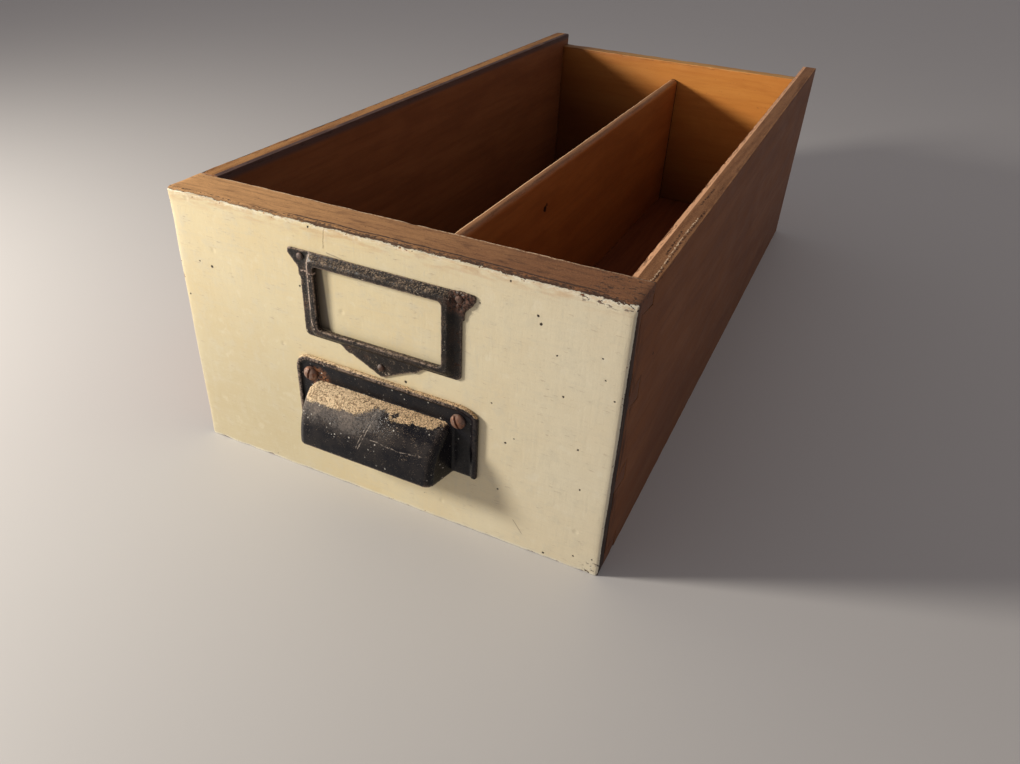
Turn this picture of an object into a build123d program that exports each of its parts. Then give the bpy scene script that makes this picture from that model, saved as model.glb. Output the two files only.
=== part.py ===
from build123d import *
from math import asin, cos, sin
import os

# A wooden index card drawer with two compartments, a stamped label holder and a stamped cup pull.
# Lengths are in millimetres. +X is the drawer's right, -Y its front, +Z up.
# The origin is the middle of the whole part's outline, on the surface that the drawer stands on.

# box
drawer_width = 180.0        # outside, across the front
drawer_depth = 374.0        # front face to the rear ends of the sides
drawer_height = 112.0       # front board and sides
front_thickness = 18.0
side_thickness = 8.0
back_thickness = 9.0
back_drop = 7.0             # the back's top edge lies this far below the sides' top edges

# bottom panel, let into grooves in the sides and the front and nailed up into the back
bottom_thickness = 4.0
bottom_recess = 6.0         # lower edges of the sides to the underside of the panel
side_groove_depth = 4.0
front_groove_depth = 6.0
groove_clearance = 0.2

# divider, in a stopped housing in the front and one in the back
divider_thickness = 5.6
divider_drop = 18.0         # the divider's top edge lies this far below the sides' top edges
divider_offset = 1.0        # its middle plane lies this far right of the drawer's middle
housing_depth = 3.0
housing_play = 1.0          # a housing is this much wider than the divider, all on the right
divider_end_clearance = 0.3

# half-blind dovetails between the front and the sides
tail_count = 3
lap_thickness = 6.0         # wood left in front of the tails
pin_width = 9.5             # between two tails, at the tails' roots
half_pin_width = 8.0        # above the top tail and below the bottom one
tail_splay = 2.0            # each tail edge runs out this far towards the tail's end

# worn and eased edges
side_inner_round = 2.0      # inner top edge of a side
side_outer_round = 0.8
side_end_round = 1.8        # top corner at a side's rear end
front_wear_height = 0.8     # the front's top edge is worn down by this much on its face
front_wear_depth = 1.9      # and back by this much on its top
front_edge_round = 0.7      # its other edges
back_edge_round = 0.6
divider_edge_round = 0.7

# the label holder and the pull sit this far right of the front's middle
hardware_offset = 0.5

# label holder, stamped from sheet
holder_sheet = 0.8
window_width = 50.7
window_height = 25.0
window_corner_radius = 1.5
window_edge_round = 0.5     # front of the lip that is turned back round the window
card_gap = 0.6              # room for a card between that lip and the wood
holder_top_drop = 10.6      # the holder's top edge lies this far below the front's
holder_side_band = 4.9      # window edge to the foot of the frame, at the sides
holder_end_band = 4.5       # the same, above and below
holder_projection = 2.8     # front of the frame off the wood
holder_slope = 2.4          # the frame's walls lean in by this much
holder_corner_radius = 2.6
holder_crest_radius = 1.6   # round between the frame's walls and its front
holder_flange = 2.2         # flat strip beside the frame
flange_corner_radius = 2.2  # at the strip's lower ends
ear_reach = 4.75            # an upper ear's tip beyond the flange
ear_height = 10.2           # an upper ear, along the flange
ear_tip_height = 2.4
ear_neck = 0.7              # an ear's lower end stands this far out of the flange
ear_neck_height = 3.4
ear_tip_radius = 1.1
bottom_ear_width = 34.6
bottom_ear_drop = 8.9
bottom_ear_tip_radius = 1.6
bottom_ear_root_radius = 2.5
shoulder_width = 28.2       # across the two small steps in the bottom ear's edges
shoulder_drop = 2.7
shoulder_step = 1.5

# pins that hold the label holder
pin_shank_radius = 0.65
pin_length = 9.0
pin_head_radius = 1.45
pin_head_height = 0.9
pin_hole_clearance = 0.05
upper_pin_inset = 5.75      # in from an ear's tip
upper_pin_drop = 2.4        # down from an ear's top edge
bottom_pin_rise = 4.4       # up from the bottom ear's tip

# cup pull, stamped from sheet
pull_sheet = 0.9
plate_width = 76.2
plate_height = 31.5
pull_gap = 0.3              # the plate's top edge lies this far below the label holder
plate_corner_radius = 6.0
plate_bottom_corner_radius = 0.8
rim_width = 2.0             # raised rim round the plate's sides and top
rim_height = 0.9
rim_round = 0.7
cup_width = 59.0
cup_height = 22.2
cup_projection = 13.5
cup_end_radius = 3.0
cup_lip_drop = 0.5          # the cup's lip lies this far below the plate
screw_spacing = 63.5
screw_drop = 7.6            # screw centres below the plate's top edge

# round-head screws that hold the pull
screw_shank_radius = 1.5
screw_length = 12.7
screw_head_radius = 3.0
screw_head_height = 2.2
screw_slot_width = 0.9
screw_slot_depth = 1.1
screw_hole_clearance = 0.05
screw_slot_angles = (-12.0, 24.0)   # left and right, degrees from upright

# nails
bottom_nail_count = 4
bottom_nail_gap = 4.1       # the side nails' points to the outermost bottom nails
bottom_nail_length = 20.0
bottom_nail_shank_radius = 0.9
bottom_nail_head_radius = 2.0
bottom_nail_head_height = 0.8
side_nail_count = 3
side_nail_spacing = 34.0
side_nail_length = 25.0
side_nail_shank_radius = 0.7
side_nail_head_radius = 1.2
side_nail_head_height = 0.9
nail_hole_clearance = 0.05

# planes that pieces share
part_front = -(drawer_depth + cup_projection) / 2
front_face = part_front + cup_projection
front_inner = front_face + front_thickness
rear_end = front_face + drawer_depth
back_inner = rear_end - back_thickness
inner_width = drawer_width - 2 * side_thickness
floor_top = bottom_recess + bottom_thickness
back_top = drawer_height - back_drop
divider_top = drawer_height - divider_drop
divider_left = divider_offset - divider_thickness / 2
back_middle = rear_end - back_thickness / 2

holder_half_width = window_width / 2 + holder_side_band
holder_half_height = window_height / 2 + holder_end_band
holder_top = drawer_height - holder_top_drop
window_centre_height = holder_top - holder_half_height
holder_bottom = window_centre_height - holder_half_height
ear_tip_x = holder_half_width + holder_flange + ear_reach
bottom_ear_tip = holder_bottom - bottom_ear_drop
plate_top = bottom_ear_tip - pull_gap
plate_bottom_height = plate_top - plate_height
cup_lip = plate_bottom_height - cup_lip_drop
screw_height = plate_top - screw_drop


def block(x, y, z):
    """A box between two values on each axis."""
    size = (x[1] - x[0], y[1] - y[0], z[1] - z[0])
    middle = ((x[0] + x[1]) / 2, (y[0] + y[1]) / 2, (z[0] + z[1]) / 2)
    return Pos(*middle) * Box(*size)


def edges_at(shape, axis, places, tolerance=0.01):
    """Straight edges along an axis whose centre has the given coordinates."""
    found = []
    for edge in shape.edges().filter_by(axis):
        centre = edge.center()
        near = all(abs(getattr(centre, name) - value) < tolerance for name, value in places.items())
        if near:
            found.append(edge)
    return found


def front_sketch(outline, depth_from, depth_to):
    """A solid whose outline is drawn on X and Z, between two distances in front of the wood."""
    plane = Plane(origin=(0, front_face - depth_from, 0), x_dir=(1, 0, 0), z_dir=(0, -1, 0))
    return extrude(plane * outline, depth_to - depth_from)


def turned_along(profile, position, direction):
    """A solid turned from a profile on X and Z, its axis laid along a direction."""
    solid = revolve(Plane.XZ * profile, Axis.Z)
    return Plane(origin=position, z_dir=direction) * solid


# fasteners: a profile starts at the shank's tip, and its zero is under the head

def domed_profile(shank_radius, length, head_radius, head_height):
    taper = shank_radius * 1.6
    sphere = (head_radius ** 2 + head_height ** 2) / (2 * head_height)
    half_turn = asin(head_radius / sphere) / 2
    line = Polyline((0, head_height), (0, -length), (shank_radius, -length + taper), (shank_radius, 0),
                    (head_radius, 0))
    middle = (sphere * sin(half_turn), head_height - sphere * (1 - cos(half_turn)))
    dome = ThreePointArc((head_radius, 0), middle, (0, head_height))
    return make_face([*line.edges(), dome])


def flat_profile(shank_radius, length, head_radius, head_height):
    taper = shank_radius * 2
    line = Polyline((0, head_height), (0, -length), (shank_radius, -length + taper), (shank_radius, 0),
                    (head_radius, 0), (head_radius, head_height), (0, head_height))
    return make_face(line.edges())


def bored(radius, length, position, direction):
    """The hole that a shank needs, from a face along the shank."""
    hole = Cylinder(radius, length, align=(Align.CENTER, Align.CENTER, Align.MAX))
    return Plane(origin=position, z_dir=direction) * hole


# joinery

def tail_solids(side):
    """The three tails of one side board, side being -1 for the left and 1 for the right."""
    pins_height = 2 * half_pin_width + (tail_count - 1) * pin_width
    tail_width = (drawer_height - pins_height) / tail_count
    outer = side * drawer_width / 2
    solids = []
    for index in range(tail_count):
        low = half_pin_width + index * (tail_width + pin_width)
        high = low + tail_width
        outline = Polyline((front_inner, low), (front_inner, high),
                           (front_face + lap_thickness, high + tail_splay),
                           (front_face + lap_thickness, low - tail_splay), close=True)
        face = Plane.YZ * make_face(outline.edges())
        solids.append(Pos(outer, 0, 0) * extrude(face, -side * side_thickness))
    return solids


def panel_space(extra):
    """The bottom panel, grown by a clearance where it lies in its grooves."""
    half = inner_width / 2 + side_groove_depth - groove_clearance + extra
    front = front_inner - front_groove_depth + groove_clearance - extra
    return block((-half, half), (front, rear_end), (bottom_recess, floor_top + extra))


def divider_housing():
    """The slot for the divider's two ends, cut in the front and in the back."""
    right = divider_left + divider_thickness + housing_play
    return block((divider_left, right), (front_inner - housing_depth, back_inner + housing_depth),
                 (floor_top, divider_top + divider_end_clearance))


def side_nail_places():
    """Heights of the nails through each side into the back."""
    middle = (floor_top + back_top) / 2
    first = middle - side_nail_spacing * (side_nail_count - 1) / 2
    return [first + side_nail_spacing * index for index in range(side_nail_count)]


def bottom_nail_places():
    """Places of the nails along the back, all of them between the points of the side nails."""
    side_nail_reach = side_nail_head_height + side_nail_length
    outermost = drawer_width / 2 - side_nail_reach - bottom_nail_gap
    spacing = 2 * outermost / (bottom_nail_count - 1)
    return [-outermost + spacing * index for index in range(bottom_nail_count)]


def pin_places():
    """The label holder's three pins, on X and Z."""
    upper_x = ear_tip_x - upper_pin_inset
    upper_z = holder_top - upper_pin_drop
    return [(-upper_x, upper_z), (upper_x, upper_z), (0, bottom_ear_tip + bottom_pin_rise)]


def screw_places():
    return [(-screw_spacing / 2, screw_height), (screw_spacing / 2, screw_height)]


# boards

def make_front_board():
    half = drawer_width / 2
    board = block((-half, half), (front_face, front_inner), (0, drawer_height))
    uprights = board.edges().filter_by(Axis.Z).group_by(Axis.Y)[0]
    board = fillet(uprights, front_edge_round)
    board = fillet(edges_at(board, Axis.X, {"Y": front_inner, "Z": drawer_height}), front_edge_round)
    slope = Polyline((front_face, drawer_height - front_wear_height), (front_face, drawer_height),
                     (front_face + front_wear_depth, drawer_height), close=True)
    board -= Pos(-half, 0, 0) * extrude(Plane.YZ * make_face(slope.edges()), drawer_width)
    for side in (-1, 1):
        for tail in tail_solids(side):
            board -= tail
    board -= panel_space(groove_clearance)
    board -= divider_housing()
    for x, z in screw_places():
        depth = screw_length - pull_sheet + screw_hole_clearance
        face = (x + hardware_offset, front_face, z)
        board -= bored(screw_shank_radius + screw_hole_clearance, depth, face, (0, -1, 0))
    for x, z in pin_places():
        depth = pin_length - holder_sheet + pin_hole_clearance
        face = (x + hardware_offset, front_face, z)
        board -= bored(pin_shank_radius + pin_hole_clearance, depth, face, (0, -1, 0))
    return board


def make_side(side):
    outer = side * drawer_width / 2
    inner = side * inner_width / 2
    board = block(sorted((inner, outer)), (front_inner, rear_end), (0, drawer_height))
    board = fillet(edges_at(board, Axis.X, {"Y": rear_end, "Z": drawer_height}), side_end_round)
    board = fillet(edges_at(board, Axis.Y, {"X": inner, "Z": drawer_height}), side_inner_round)
    board = fillet(edges_at(board, Axis.Y, {"X": outer, "Z": drawer_height}), side_outer_round)
    for tail in tail_solids(side):
        board += tail
    board -= panel_space(groove_clearance)
    for z in side_nail_places():
        face = (outer, back_middle, z)
        head_hole_radius = side_nail_head_radius + nail_hole_clearance
        board -= bored(head_hole_radius, side_nail_head_height, face, (side, 0, 0))
        board -= bored(side_nail_shank_radius + nail_hole_clearance, side_nail_length, face, (side, 0, 0))
    return board


def make_back_board():
    half = inner_width / 2
    board = block((-half, half), (back_inner, rear_end), (floor_top, back_top))
    board = fillet(board.edges().filter_by(Axis.X).group_by(Axis.Z)[-1], back_edge_round)
    board -= divider_housing()
    for side in (-1, 1):
        for z in side_nail_places():
            face = (side * drawer_width / 2, back_middle, z)
            depth = side_nail_head_height + side_nail_length + nail_hole_clearance
            board -= bored(side_nail_shank_radius + nail_hole_clearance, depth, face, (side, 0, 0))
    for x in bottom_nail_places():
        face = (x, back_middle, bottom_recess)
        depth = bottom_nail_length + nail_hole_clearance
        board -= bored(bottom_nail_shank_radius + nail_hole_clearance, depth, face, (0, 0, -1))
    return board


def make_bottom_panel():
    panel = panel_space(0)
    for x in bottom_nail_places():
        face = (x, back_middle, bottom_recess)
        panel -= bored(bottom_nail_shank_radius + nail_hole_clearance, bottom_nail_length, face, (0, 0, -1))
    return panel


def make_divider():
    front = front_inner - housing_depth + divider_end_clearance
    rear = back_inner + housing_depth - divider_end_clearance
    board = block((divider_left, divider_left + divider_thickness), (front, rear), (floor_top, divider_top))
    return fillet(board.edges().filter_by(Axis.Y).group_by(Axis.Z)[-1], divider_edge_round)


# label holder

def holder_plate():
    """The flat strip with its two upper ears and the bottom ear."""
    edge = holder_half_width + holder_flange
    neck = edge + ear_neck
    ear_root = holder_top - ear_height
    half_ear = bottom_ear_width / 2
    shoulder = shoulder_width / 2
    shoulder_height = holder_bottom - shoulder_drop
    right = [(ear_tip_x, holder_top), (ear_tip_x, holder_top - ear_tip_height),
             (neck, ear_root + ear_neck_height), (neck, ear_root), (edge, ear_root),
             (edge, holder_bottom), (half_ear, holder_bottom), (shoulder, shoulder_height),
             (shoulder - shoulder_step, shoulder_height)]
    left = [(-x, z) for x, z in reversed(right)]
    outline = Polyline(*right, (0, bottom_ear_tip), *left, close=True)
    face = make_face(outline.edges())
    roots = [v for v in face.vertices() if abs(abs(v.X) - half_ear) < 0.01]
    face = fillet(roots, bottom_ear_root_radius)
    face = fillet(face.vertices().sort_by(Axis.Y)[0], bottom_ear_tip_radius)
    tips = [v for v in face.vertices() if abs(abs(v.X) - ear_tip_x) < 0.01]
    face = fillet(tips, ear_tip_radius)
    lower = [v for v in face.vertices() if abs(v.Y - holder_bottom) < 0.01]
    corners = [v for v in lower if abs(abs(v.X) - edge) < 0.01]
    face = fillet(corners, flange_corner_radius)
    return front_sketch(face, 0, holder_sheet)


def holder_frustum(inset):
    """The frame's raised shape, or with an inset the hollow behind it."""
    plane = Plane(origin=(0, front_face, 0), x_dir=(1, 0, 0), z_dir=(0, -1, 0))
    width = 2 * (holder_half_width - inset)
    height = 2 * (holder_half_height - inset)
    foot = RectangleRounded(width, height, holder_corner_radius)
    front = RectangleRounded(width - 2 * holder_slope, height - 2 * holder_slope, holder_corner_radius)
    sections = [plane * Pos(0, window_centre_height) * foot,
                plane * Pos(0, window_centre_height, holder_projection - inset) * front]
    frame = loft(sections)
    crest = frame.faces().sort_by(Axis.Y)[0].edges()
    return fillet(crest, holder_crest_radius - inset)


def window_rim(holder):
    """The edges round the window, on the frame's front."""
    edges = []
    for edge in holder.edges():
        centre = edge.center()
        inside = abs(centre.X) < window_width / 2 + 0.01
        inside = inside and abs(centre.Z - window_centre_height) < window_height / 2 + 0.01
        if inside and abs(centre.Y - front_face + holder_projection) < 0.01:
            edges.append(edge)
    return edges


def make_label_holder():
    holder = holder_plate() + holder_frustum(0)
    holder -= holder_frustum(holder_sheet)
    middle = Pos(0, window_centre_height)
    lip = RectangleRounded(window_width + 2 * holder_sheet, window_height + 2 * holder_sheet,
                           window_corner_radius + holder_sheet)
    holder += front_sketch(middle * lip, card_gap, holder_projection - holder_sheet / 2)
    window = RectangleRounded(window_width, window_height, window_corner_radius)
    holder -= front_sketch(middle * window, 0, holder_projection)
    holder = fillet(window_rim(holder), window_edge_round)
    for x, z in pin_places():
        hole = Pos(x, z) * Circle(pin_shank_radius + pin_hole_clearance)
        holder -= front_sketch(hole, 0, holder_sheet)
    return holder


def make_holder_pins():
    profile = domed_profile(pin_shank_radius, pin_length, pin_head_radius, pin_head_height)
    places = [(x, front_face - holder_sheet, z) for x, z in pin_places()]
    return Compound([turned_along(profile, place, (0, -1, 0)) for place in places])


# cup pull

def plate_outline(inset, bottom):
    """The plate's outline, inset at its sides and top, down to a given height."""
    half = plate_width / 2 - inset
    top = plate_top - inset
    outline = Polyline((-half, bottom), (-half, top), (half, top), (half, bottom), close=True)
    face = make_face(outline.edges())
    corners = face.vertices().group_by(Axis.Y)[-1]
    return fillet(corners, plate_corner_radius - inset)


def cup_solid(inset, reach):
    """The cup's outer shape, or with an inset its hollow, run on below the lip by a reach."""
    depth = cup_projection - inset
    rise = cup_height - inset
    arc = EllipticalCenterArc((front_face, cup_lip), depth, rise, 90, arc_size=90)
    points = [(front_face - depth, cup_lip), (front_face, cup_lip - reach), (front_face, cup_lip + rise)]
    if reach > 0:
        points.insert(1, (front_face - depth, cup_lip - reach))
    line = Polyline(*points)
    half = cup_width / 2 - inset
    solid = Pos(-half, 0, 0) * extrude(Plane.YZ * make_face([arc, *line.edges()]), 2 * half)
    ends = []
    for edge in solid.edges():
        at_end = abs(abs(edge.center().X) - half) < 0.01
        at_wood = abs(edge.center().Y - front_face) < 0.01
        across_lip = edge.center().Z < cup_lip - reach + 0.01
        if at_end and not at_wood and not across_lip:
            ends.append(edge)
    return fillet(ends, cup_end_radius - inset)


def make_pull():
    outline = plate_outline(0, plate_bottom_height)
    corners = outline.vertices().group_by(Axis.Y)[0]
    outline = fillet(corners, plate_bottom_corner_radius)
    rim = outline - plate_outline(rim_width, plate_bottom_height - rim_width)
    raised = front_sketch(rim, pull_sheet, pull_sheet + rim_height)
    crest = [edge for edge in raised.faces().sort_by(Axis.Y)[0].edges() if edge.length > rim_width * 1.01]
    raised = fillet(crest, rim_round)
    pull = front_sketch(outline, 0, pull_sheet) + raised
    pull += cup_solid(0, 0)
    pull -= cup_solid(pull_sheet, 2 * cup_lip_drop)
    for x, z in screw_places():
        hole = Pos(x, z) * Circle(screw_shank_radius + screw_hole_clearance)
        pull -= front_sketch(hole, 0, pull_sheet)
    return pull


def make_pull_screws():
    profile = domed_profile(screw_shank_radius, screw_length, screw_head_radius, screw_head_height)
    slot = Pos(0, 0, screw_head_height - screw_slot_depth / 2)
    slot *= Box(screw_slot_width, 2 * screw_head_radius, screw_slot_depth)
    screws = []
    for (x, z), angle in zip(screw_places(), screw_slot_angles):
        seat = Plane(origin=(x, front_face - pull_sheet, z), x_dir=(1, 0, 0), z_dir=(0, -1, 0))
        screw = revolve(Plane.XZ * profile, Axis.Z) - slot
        screws.append(seat * Rot(0, 0, angle) * screw)
    return Compound(screws)


# nails

def make_bottom_nails():
    profile = flat_profile(bottom_nail_shank_radius, bottom_nail_length, bottom_nail_head_radius,
                           bottom_nail_head_height)
    places = [(x, back_middle, bottom_recess) for x in bottom_nail_places()]
    return Compound([turned_along(profile, place, (0, 0, -1)) for place in places])


def make_side_nails():
    profile = flat_profile(side_nail_shank_radius, side_nail_length, side_nail_head_radius,
                           side_nail_head_height)
    nails = []
    for side in (-1, 1):
        under_head = side * (drawer_width / 2 - side_nail_head_height)
        for z in side_nail_places():
            nails.append(turned_along(profile, (under_head, back_middle, z), (side, 0, 0)))
    return Compound(nails)


def make_parts():
    offset = Pos(hardware_offset, 0, 0)
    return {
        "front_board": make_front_board(),
        "left_side": make_side(-1),
        "right_side": make_side(1),
        "back_board": make_back_board(),
        "bottom_panel": make_bottom_panel(),
        "divider": make_divider(),
        "label_holder": offset * make_label_holder(),
        "label_holder_pins": offset * make_holder_pins(),
        "cup_pull": offset * make_pull(),
        "pull_screws": offset * make_pull_screws(),
        "bottom_nails": make_bottom_nails(),
        "side_nails": make_side_nails(),
    }


os.makedirs("parts", exist_ok=True)
for node, shape in make_parts().items():
    export_step(shape, f"parts/{node}.step")
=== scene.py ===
from math import cos, pi, radians, sin, sqrt

import bmesh
import bpy
from mathutils import Matrix, Vector


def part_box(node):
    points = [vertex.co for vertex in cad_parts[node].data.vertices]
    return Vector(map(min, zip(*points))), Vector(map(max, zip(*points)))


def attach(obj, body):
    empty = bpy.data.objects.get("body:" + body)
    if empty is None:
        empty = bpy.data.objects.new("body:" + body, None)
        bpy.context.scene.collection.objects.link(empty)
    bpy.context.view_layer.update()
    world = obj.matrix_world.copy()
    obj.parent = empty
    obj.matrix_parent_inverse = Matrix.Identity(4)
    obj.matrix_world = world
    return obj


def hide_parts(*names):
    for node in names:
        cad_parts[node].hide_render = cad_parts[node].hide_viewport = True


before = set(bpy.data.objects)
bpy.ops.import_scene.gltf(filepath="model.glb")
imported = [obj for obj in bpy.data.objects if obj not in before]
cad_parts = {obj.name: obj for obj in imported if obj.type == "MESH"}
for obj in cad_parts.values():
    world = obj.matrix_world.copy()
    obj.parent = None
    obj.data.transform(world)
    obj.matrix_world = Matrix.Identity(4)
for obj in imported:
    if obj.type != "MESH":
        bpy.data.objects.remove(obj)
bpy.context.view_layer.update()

# An old wooden index card drawer: six boards, a stamped label holder, a stamped cup pull and their fasteners.
# Sizes in the dictionaries are in millimetres unless they say otherwise.
mm = 0.001
scene = bpy.context.scene

# planes that the boards share, all read from the frame
frontLow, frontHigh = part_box("front_board")
leftLow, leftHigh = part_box("left_side")
rightLow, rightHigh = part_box("right_side")
backLow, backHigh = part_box("back_board")
bottomLow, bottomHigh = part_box("bottom_panel")
dividerLow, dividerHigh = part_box("divider")
frontFace = frontLow.y
frontInner = frontHigh.y
boxHeight = frontHigh.z


camera = {
    "position": (139.6, -383.6, 220.05),
    "azimuth": 23.575,       # degrees, towards the drawer's right
    "elevation": 33.564,
    "roll": 3.294,
    "focalPixels": 802.5,    # for a picture 1020 pixels wide
    "pictureWidth": 1020,
    "sensorWidth": 36.0,
}


def placeCamera(settings):
    azimuth, elevation, roll = (radians(settings[key]) for key in ("azimuth", "elevation", "roll"))
    ahead = Vector((-sin(azimuth) * cos(elevation), cos(azimuth) * cos(elevation), -sin(elevation)))
    right = Vector((cos(azimuth), sin(azimuth), 0))
    up = right.cross(ahead)
    turnedRight = right * cos(roll) + up * sin(roll)
    turnedUp = up * cos(roll) - right * sin(roll)
    data = bpy.data.cameras.new("camera")
    data.sensor_width = settings["sensorWidth"]
    data.lens = settings["focalPixels"] / settings["pictureWidth"] * settings["sensorWidth"]
    data.clip_start = 0.01
    obj = bpy.data.objects.new("camera", data)
    turn = Matrix((turnedRight, turnedUp, -ahead)).transposed().to_4x4()
    obj.matrix_world = Matrix.Translation(Vector(settings["position"]) * mm) @ turn
    scene.collection.objects.link(obj)
    scene.camera = obj


placeCamera(camera)


light = {
    "keyAt": (-620, -300, 320),      # the key lamp, from the foot of the front's middle
    "aimHeight": 60,
    "keySize": 0.14,                 # metres
    "keyWatts": 7.6,
    "keyColour": (1.0, 0.95, 0.86),
    "fill": (1.0, 0.935, 0.95),
    "fillStrength": 0.26,
    "floor": (0.59, 0.57, 0.555),
    "floorHalf": 6.0,
}


def lightScene(settings):
    scene.view_settings.view_transform = "Standard"
    middle = Vector((0, frontFace, settings["aimHeight"] * mm))
    data = bpy.data.lights.new("key", "AREA")
    data.shape = "DISK"
    data.size = settings["keySize"]
    data.energy = settings["keyWatts"]
    data.color = settings["keyColour"]
    lamp = bpy.data.objects.new("key", data)
    lamp.visible_camera = False
    lamp.location = Vector((0, frontFace, 0)) + Vector(settings["keyAt"]) * mm
    lamp.rotation_euler = (lamp.location - middle).to_track_quat("Z", "Y").to_euler()
    scene.collection.objects.link(lamp)
    world = bpy.data.worlds.new("studio")
    world.use_nodes = True
    background = world.node_tree.nodes["Background"]
    background.inputs["Color"].default_value = (*settings["fill"], 1)
    background.inputs["Strength"].default_value = settings["fillStrength"]
    scene.world = world


lightScene(light)


def newMaterial(name):
    material = bpy.data.materials.new(name)
    material.use_nodes = True
    tree = material.node_tree
    tree.nodes.clear()
    output = tree.nodes.new("ShaderNodeOutputMaterial")
    surface = tree.nodes.new("ShaderNodeBsdfPrincipled")
    tree.links.new(surface.outputs["BSDF"], output.inputs["Surface"])
    return material, tree, surface


def node(tree, kind, inputs=None, **settings):
    made = tree.nodes.new(kind)
    for key, value in settings.items():
        setattr(made, key, value)
    for key, value in (inputs or {}).items():
        if isinstance(value, bpy.types.NodeSocket):
            tree.links.new(value, made.inputs[key])
        else:
            made.inputs[key].default_value = value
    return made


def maths(tree, operation, a, b=0.0, clamp=False):
    made = node(tree, "ShaderNodeMath", {0: a, 1: b}, operation=operation, use_clamp=clamp)
    return made.outputs[0]


def times(tree, a, b):
    return maths(tree, "MULTIPLY", a, b)


def plus(tree, a, b):
    return maths(tree, "ADD", a, b)


def minus(tree, a, b):
    return maths(tree, "SUBTRACT", a, b)


def inverse(tree, mask):
    return minus(tree, 1.0, mask)


def swung(tree, value, field, amount):
    # the value, moved up and down by a field that runs around a half
    return plus(tree, value, times(tree, minus(tree, field, 0.5), amount))


def distance(tree, a, b):
    return node(tree, "ShaderNodeVectorMath", {0: a, 1: b}, operation="DISTANCE").outputs["Value"]


def ramp(tree, value, low, high, start=0.0, end=1.0):
    # a smooth step from start to end while value goes from low to high
    made = node(tree, "ShaderNodeMapRange", {0: value, 1: low, 2: high, 3: start, 4: end},
                interpolation_type="SMOOTHSTEP")
    return made.outputs[0]


def mix(tree, factor, a, b):
    a = (*a, 1) if isinstance(a, tuple) else a
    b = (*b, 1) if isinstance(b, tuple) else b
    made = node(tree, "ShaderNodeMix", {0: factor, 6: a, 7: b}, data_type="RGBA")
    return made.outputs[2]


def place(tree, scale=(1, 1, 1), shift=(0, 0, 0), turn=(0, 0, 0)):
    # object coordinates in millimetres, stretched or turned
    coordinates = node(tree, "ShaderNodeTexCoord").outputs["Object"]
    made = node(tree, "ShaderNodeMapping", {"Vector": coordinates, "Location": shift,
                                            "Rotation": turn, "Scale": [s / mm for s in scale]})
    return made.outputs[0]


def noise(tree, vector, size, detail=4.0, roughness=0.55, distortion=0.0):
    # size is that of the blotches, in the units of the vector
    made = node(tree, "ShaderNodeTexNoise", {"Vector": vector, "Scale": 1 / size, "Detail": detail,
                                             "Roughness": roughness, "Distortion": distortion})
    return made.outputs[0]


def cells(tree, vector, size):
    made = node(tree, "ShaderNodeTexVoronoi", {"Vector": vector, "Scale": 1 / size})
    return made.outputs["Distance"], made.outputs["Color"]


def split(tree, vector):
    return node(tree, "ShaderNodeSeparateXYZ", {0: vector}).outputs


def facing(tree):
    return split(tree, node(tree, "ShaderNodeNewGeometry").outputs["Normal"])


def arrisDistance(tree):
    # distance to the nearest arris, in millimetres, kept on the mesh
    made = node(tree, "ShaderNodeAttribute", attribute_name="arris", attribute_type="GEOMETRY")
    return times(tree, made.outputs["Fac"], 1 / mm)


def bump(tree, height, distance, strength=1.0, under=None):
    # height is from 0 to 1, distance is what that is in millimetres
    inputs = {"Height": height, "Distance": distance * mm, "Strength": strength}
    if under is not None:
        inputs["Normal"] = under
    return node(tree, "ShaderNodeBump", inputs).outputs[0]


def anyOf(tree, *masks):
    total = masks[0]
    for mask in masks[1:]:
        total = maths(tree, "MAXIMUM", total, mask)
    return total


def allOf(tree, *masks):
    total = masks[0]
    for mask in masks[1:]:
        total = times(tree, total, mask)
    return total


def newGeometryTree(name, inputs):
    tree = bpy.data.node_groups.new(name, "GeometryNodeTree")
    tree.interface.new_socket("Geometry", in_out="OUTPUT", socket_type="NodeSocketGeometry")
    sockets = {}
    for label, (kind, default) in inputs.items():
        socket = tree.interface.new_socket(label, in_out="INPUT", socket_type=kind)
        if default is not None:
            socket.default_value = default
        sockets[label] = socket.identifier
    start = tree.nodes.new("NodeGroupInput").outputs
    return tree, start, sockets


def closeTree(tree, geometry, material):
    # every tree ends the same way: real geometry with its material set
    realized = node(tree, "GeometryNodeRealizeInstances", {0: geometry})
    painted = node(tree, "GeometryNodeSetMaterial", {"Geometry": realized.outputs[0], "Material": material})
    end = tree.nodes.new("NodeGroupOutput")
    tree.links.new(painted.outputs[0], end.inputs[0])


def runTree(obj, tree, sockets, values):
    # the tree's result as a plain mesh on the same object
    modifier = obj.modifiers.new("nodes", "NODES")
    modifier.node_group = tree
    for label, value in values.items():
        modifier[sockets[label]] = value
    bpy.context.view_layer.update()
    graph = bpy.context.evaluated_depsgraph_get()
    mesh = bpy.data.meshes.new_from_object(obj.evaluated_get(graph), preserve_all_data_layers=True,
                                           depsgraph=graph)
    obj.modifiers.remove(modifier)
    obj.data = mesh
    mesh.name = obj.name
    return obj


def newObject(name, bm):
    mesh = bpy.data.meshes.new(name)
    bm.to_mesh(mesh)
    bm.free()
    obj = bpy.data.objects.new(name, mesh)
    scene.collection.objects.link(obj)
    return obj


def finishPiece(obj, nodeName, smoothAngle=40):
    mesh = obj.data
    mesh.shade_smooth()
    mesh.set_sharp_from_angle(angle=radians(smoothAngle))
    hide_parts(nodeName)
    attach(obj, "root")
    print(obj.name, "made,", len(mesh.polygons), "faces")


def between(tree, value, low, high, soft):
    # 1 where value lies between low and high, with soft borders
    return allOf(tree, ramp(tree, value, low - soft, low), ramp(tree, value, high + soft, high))


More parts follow.
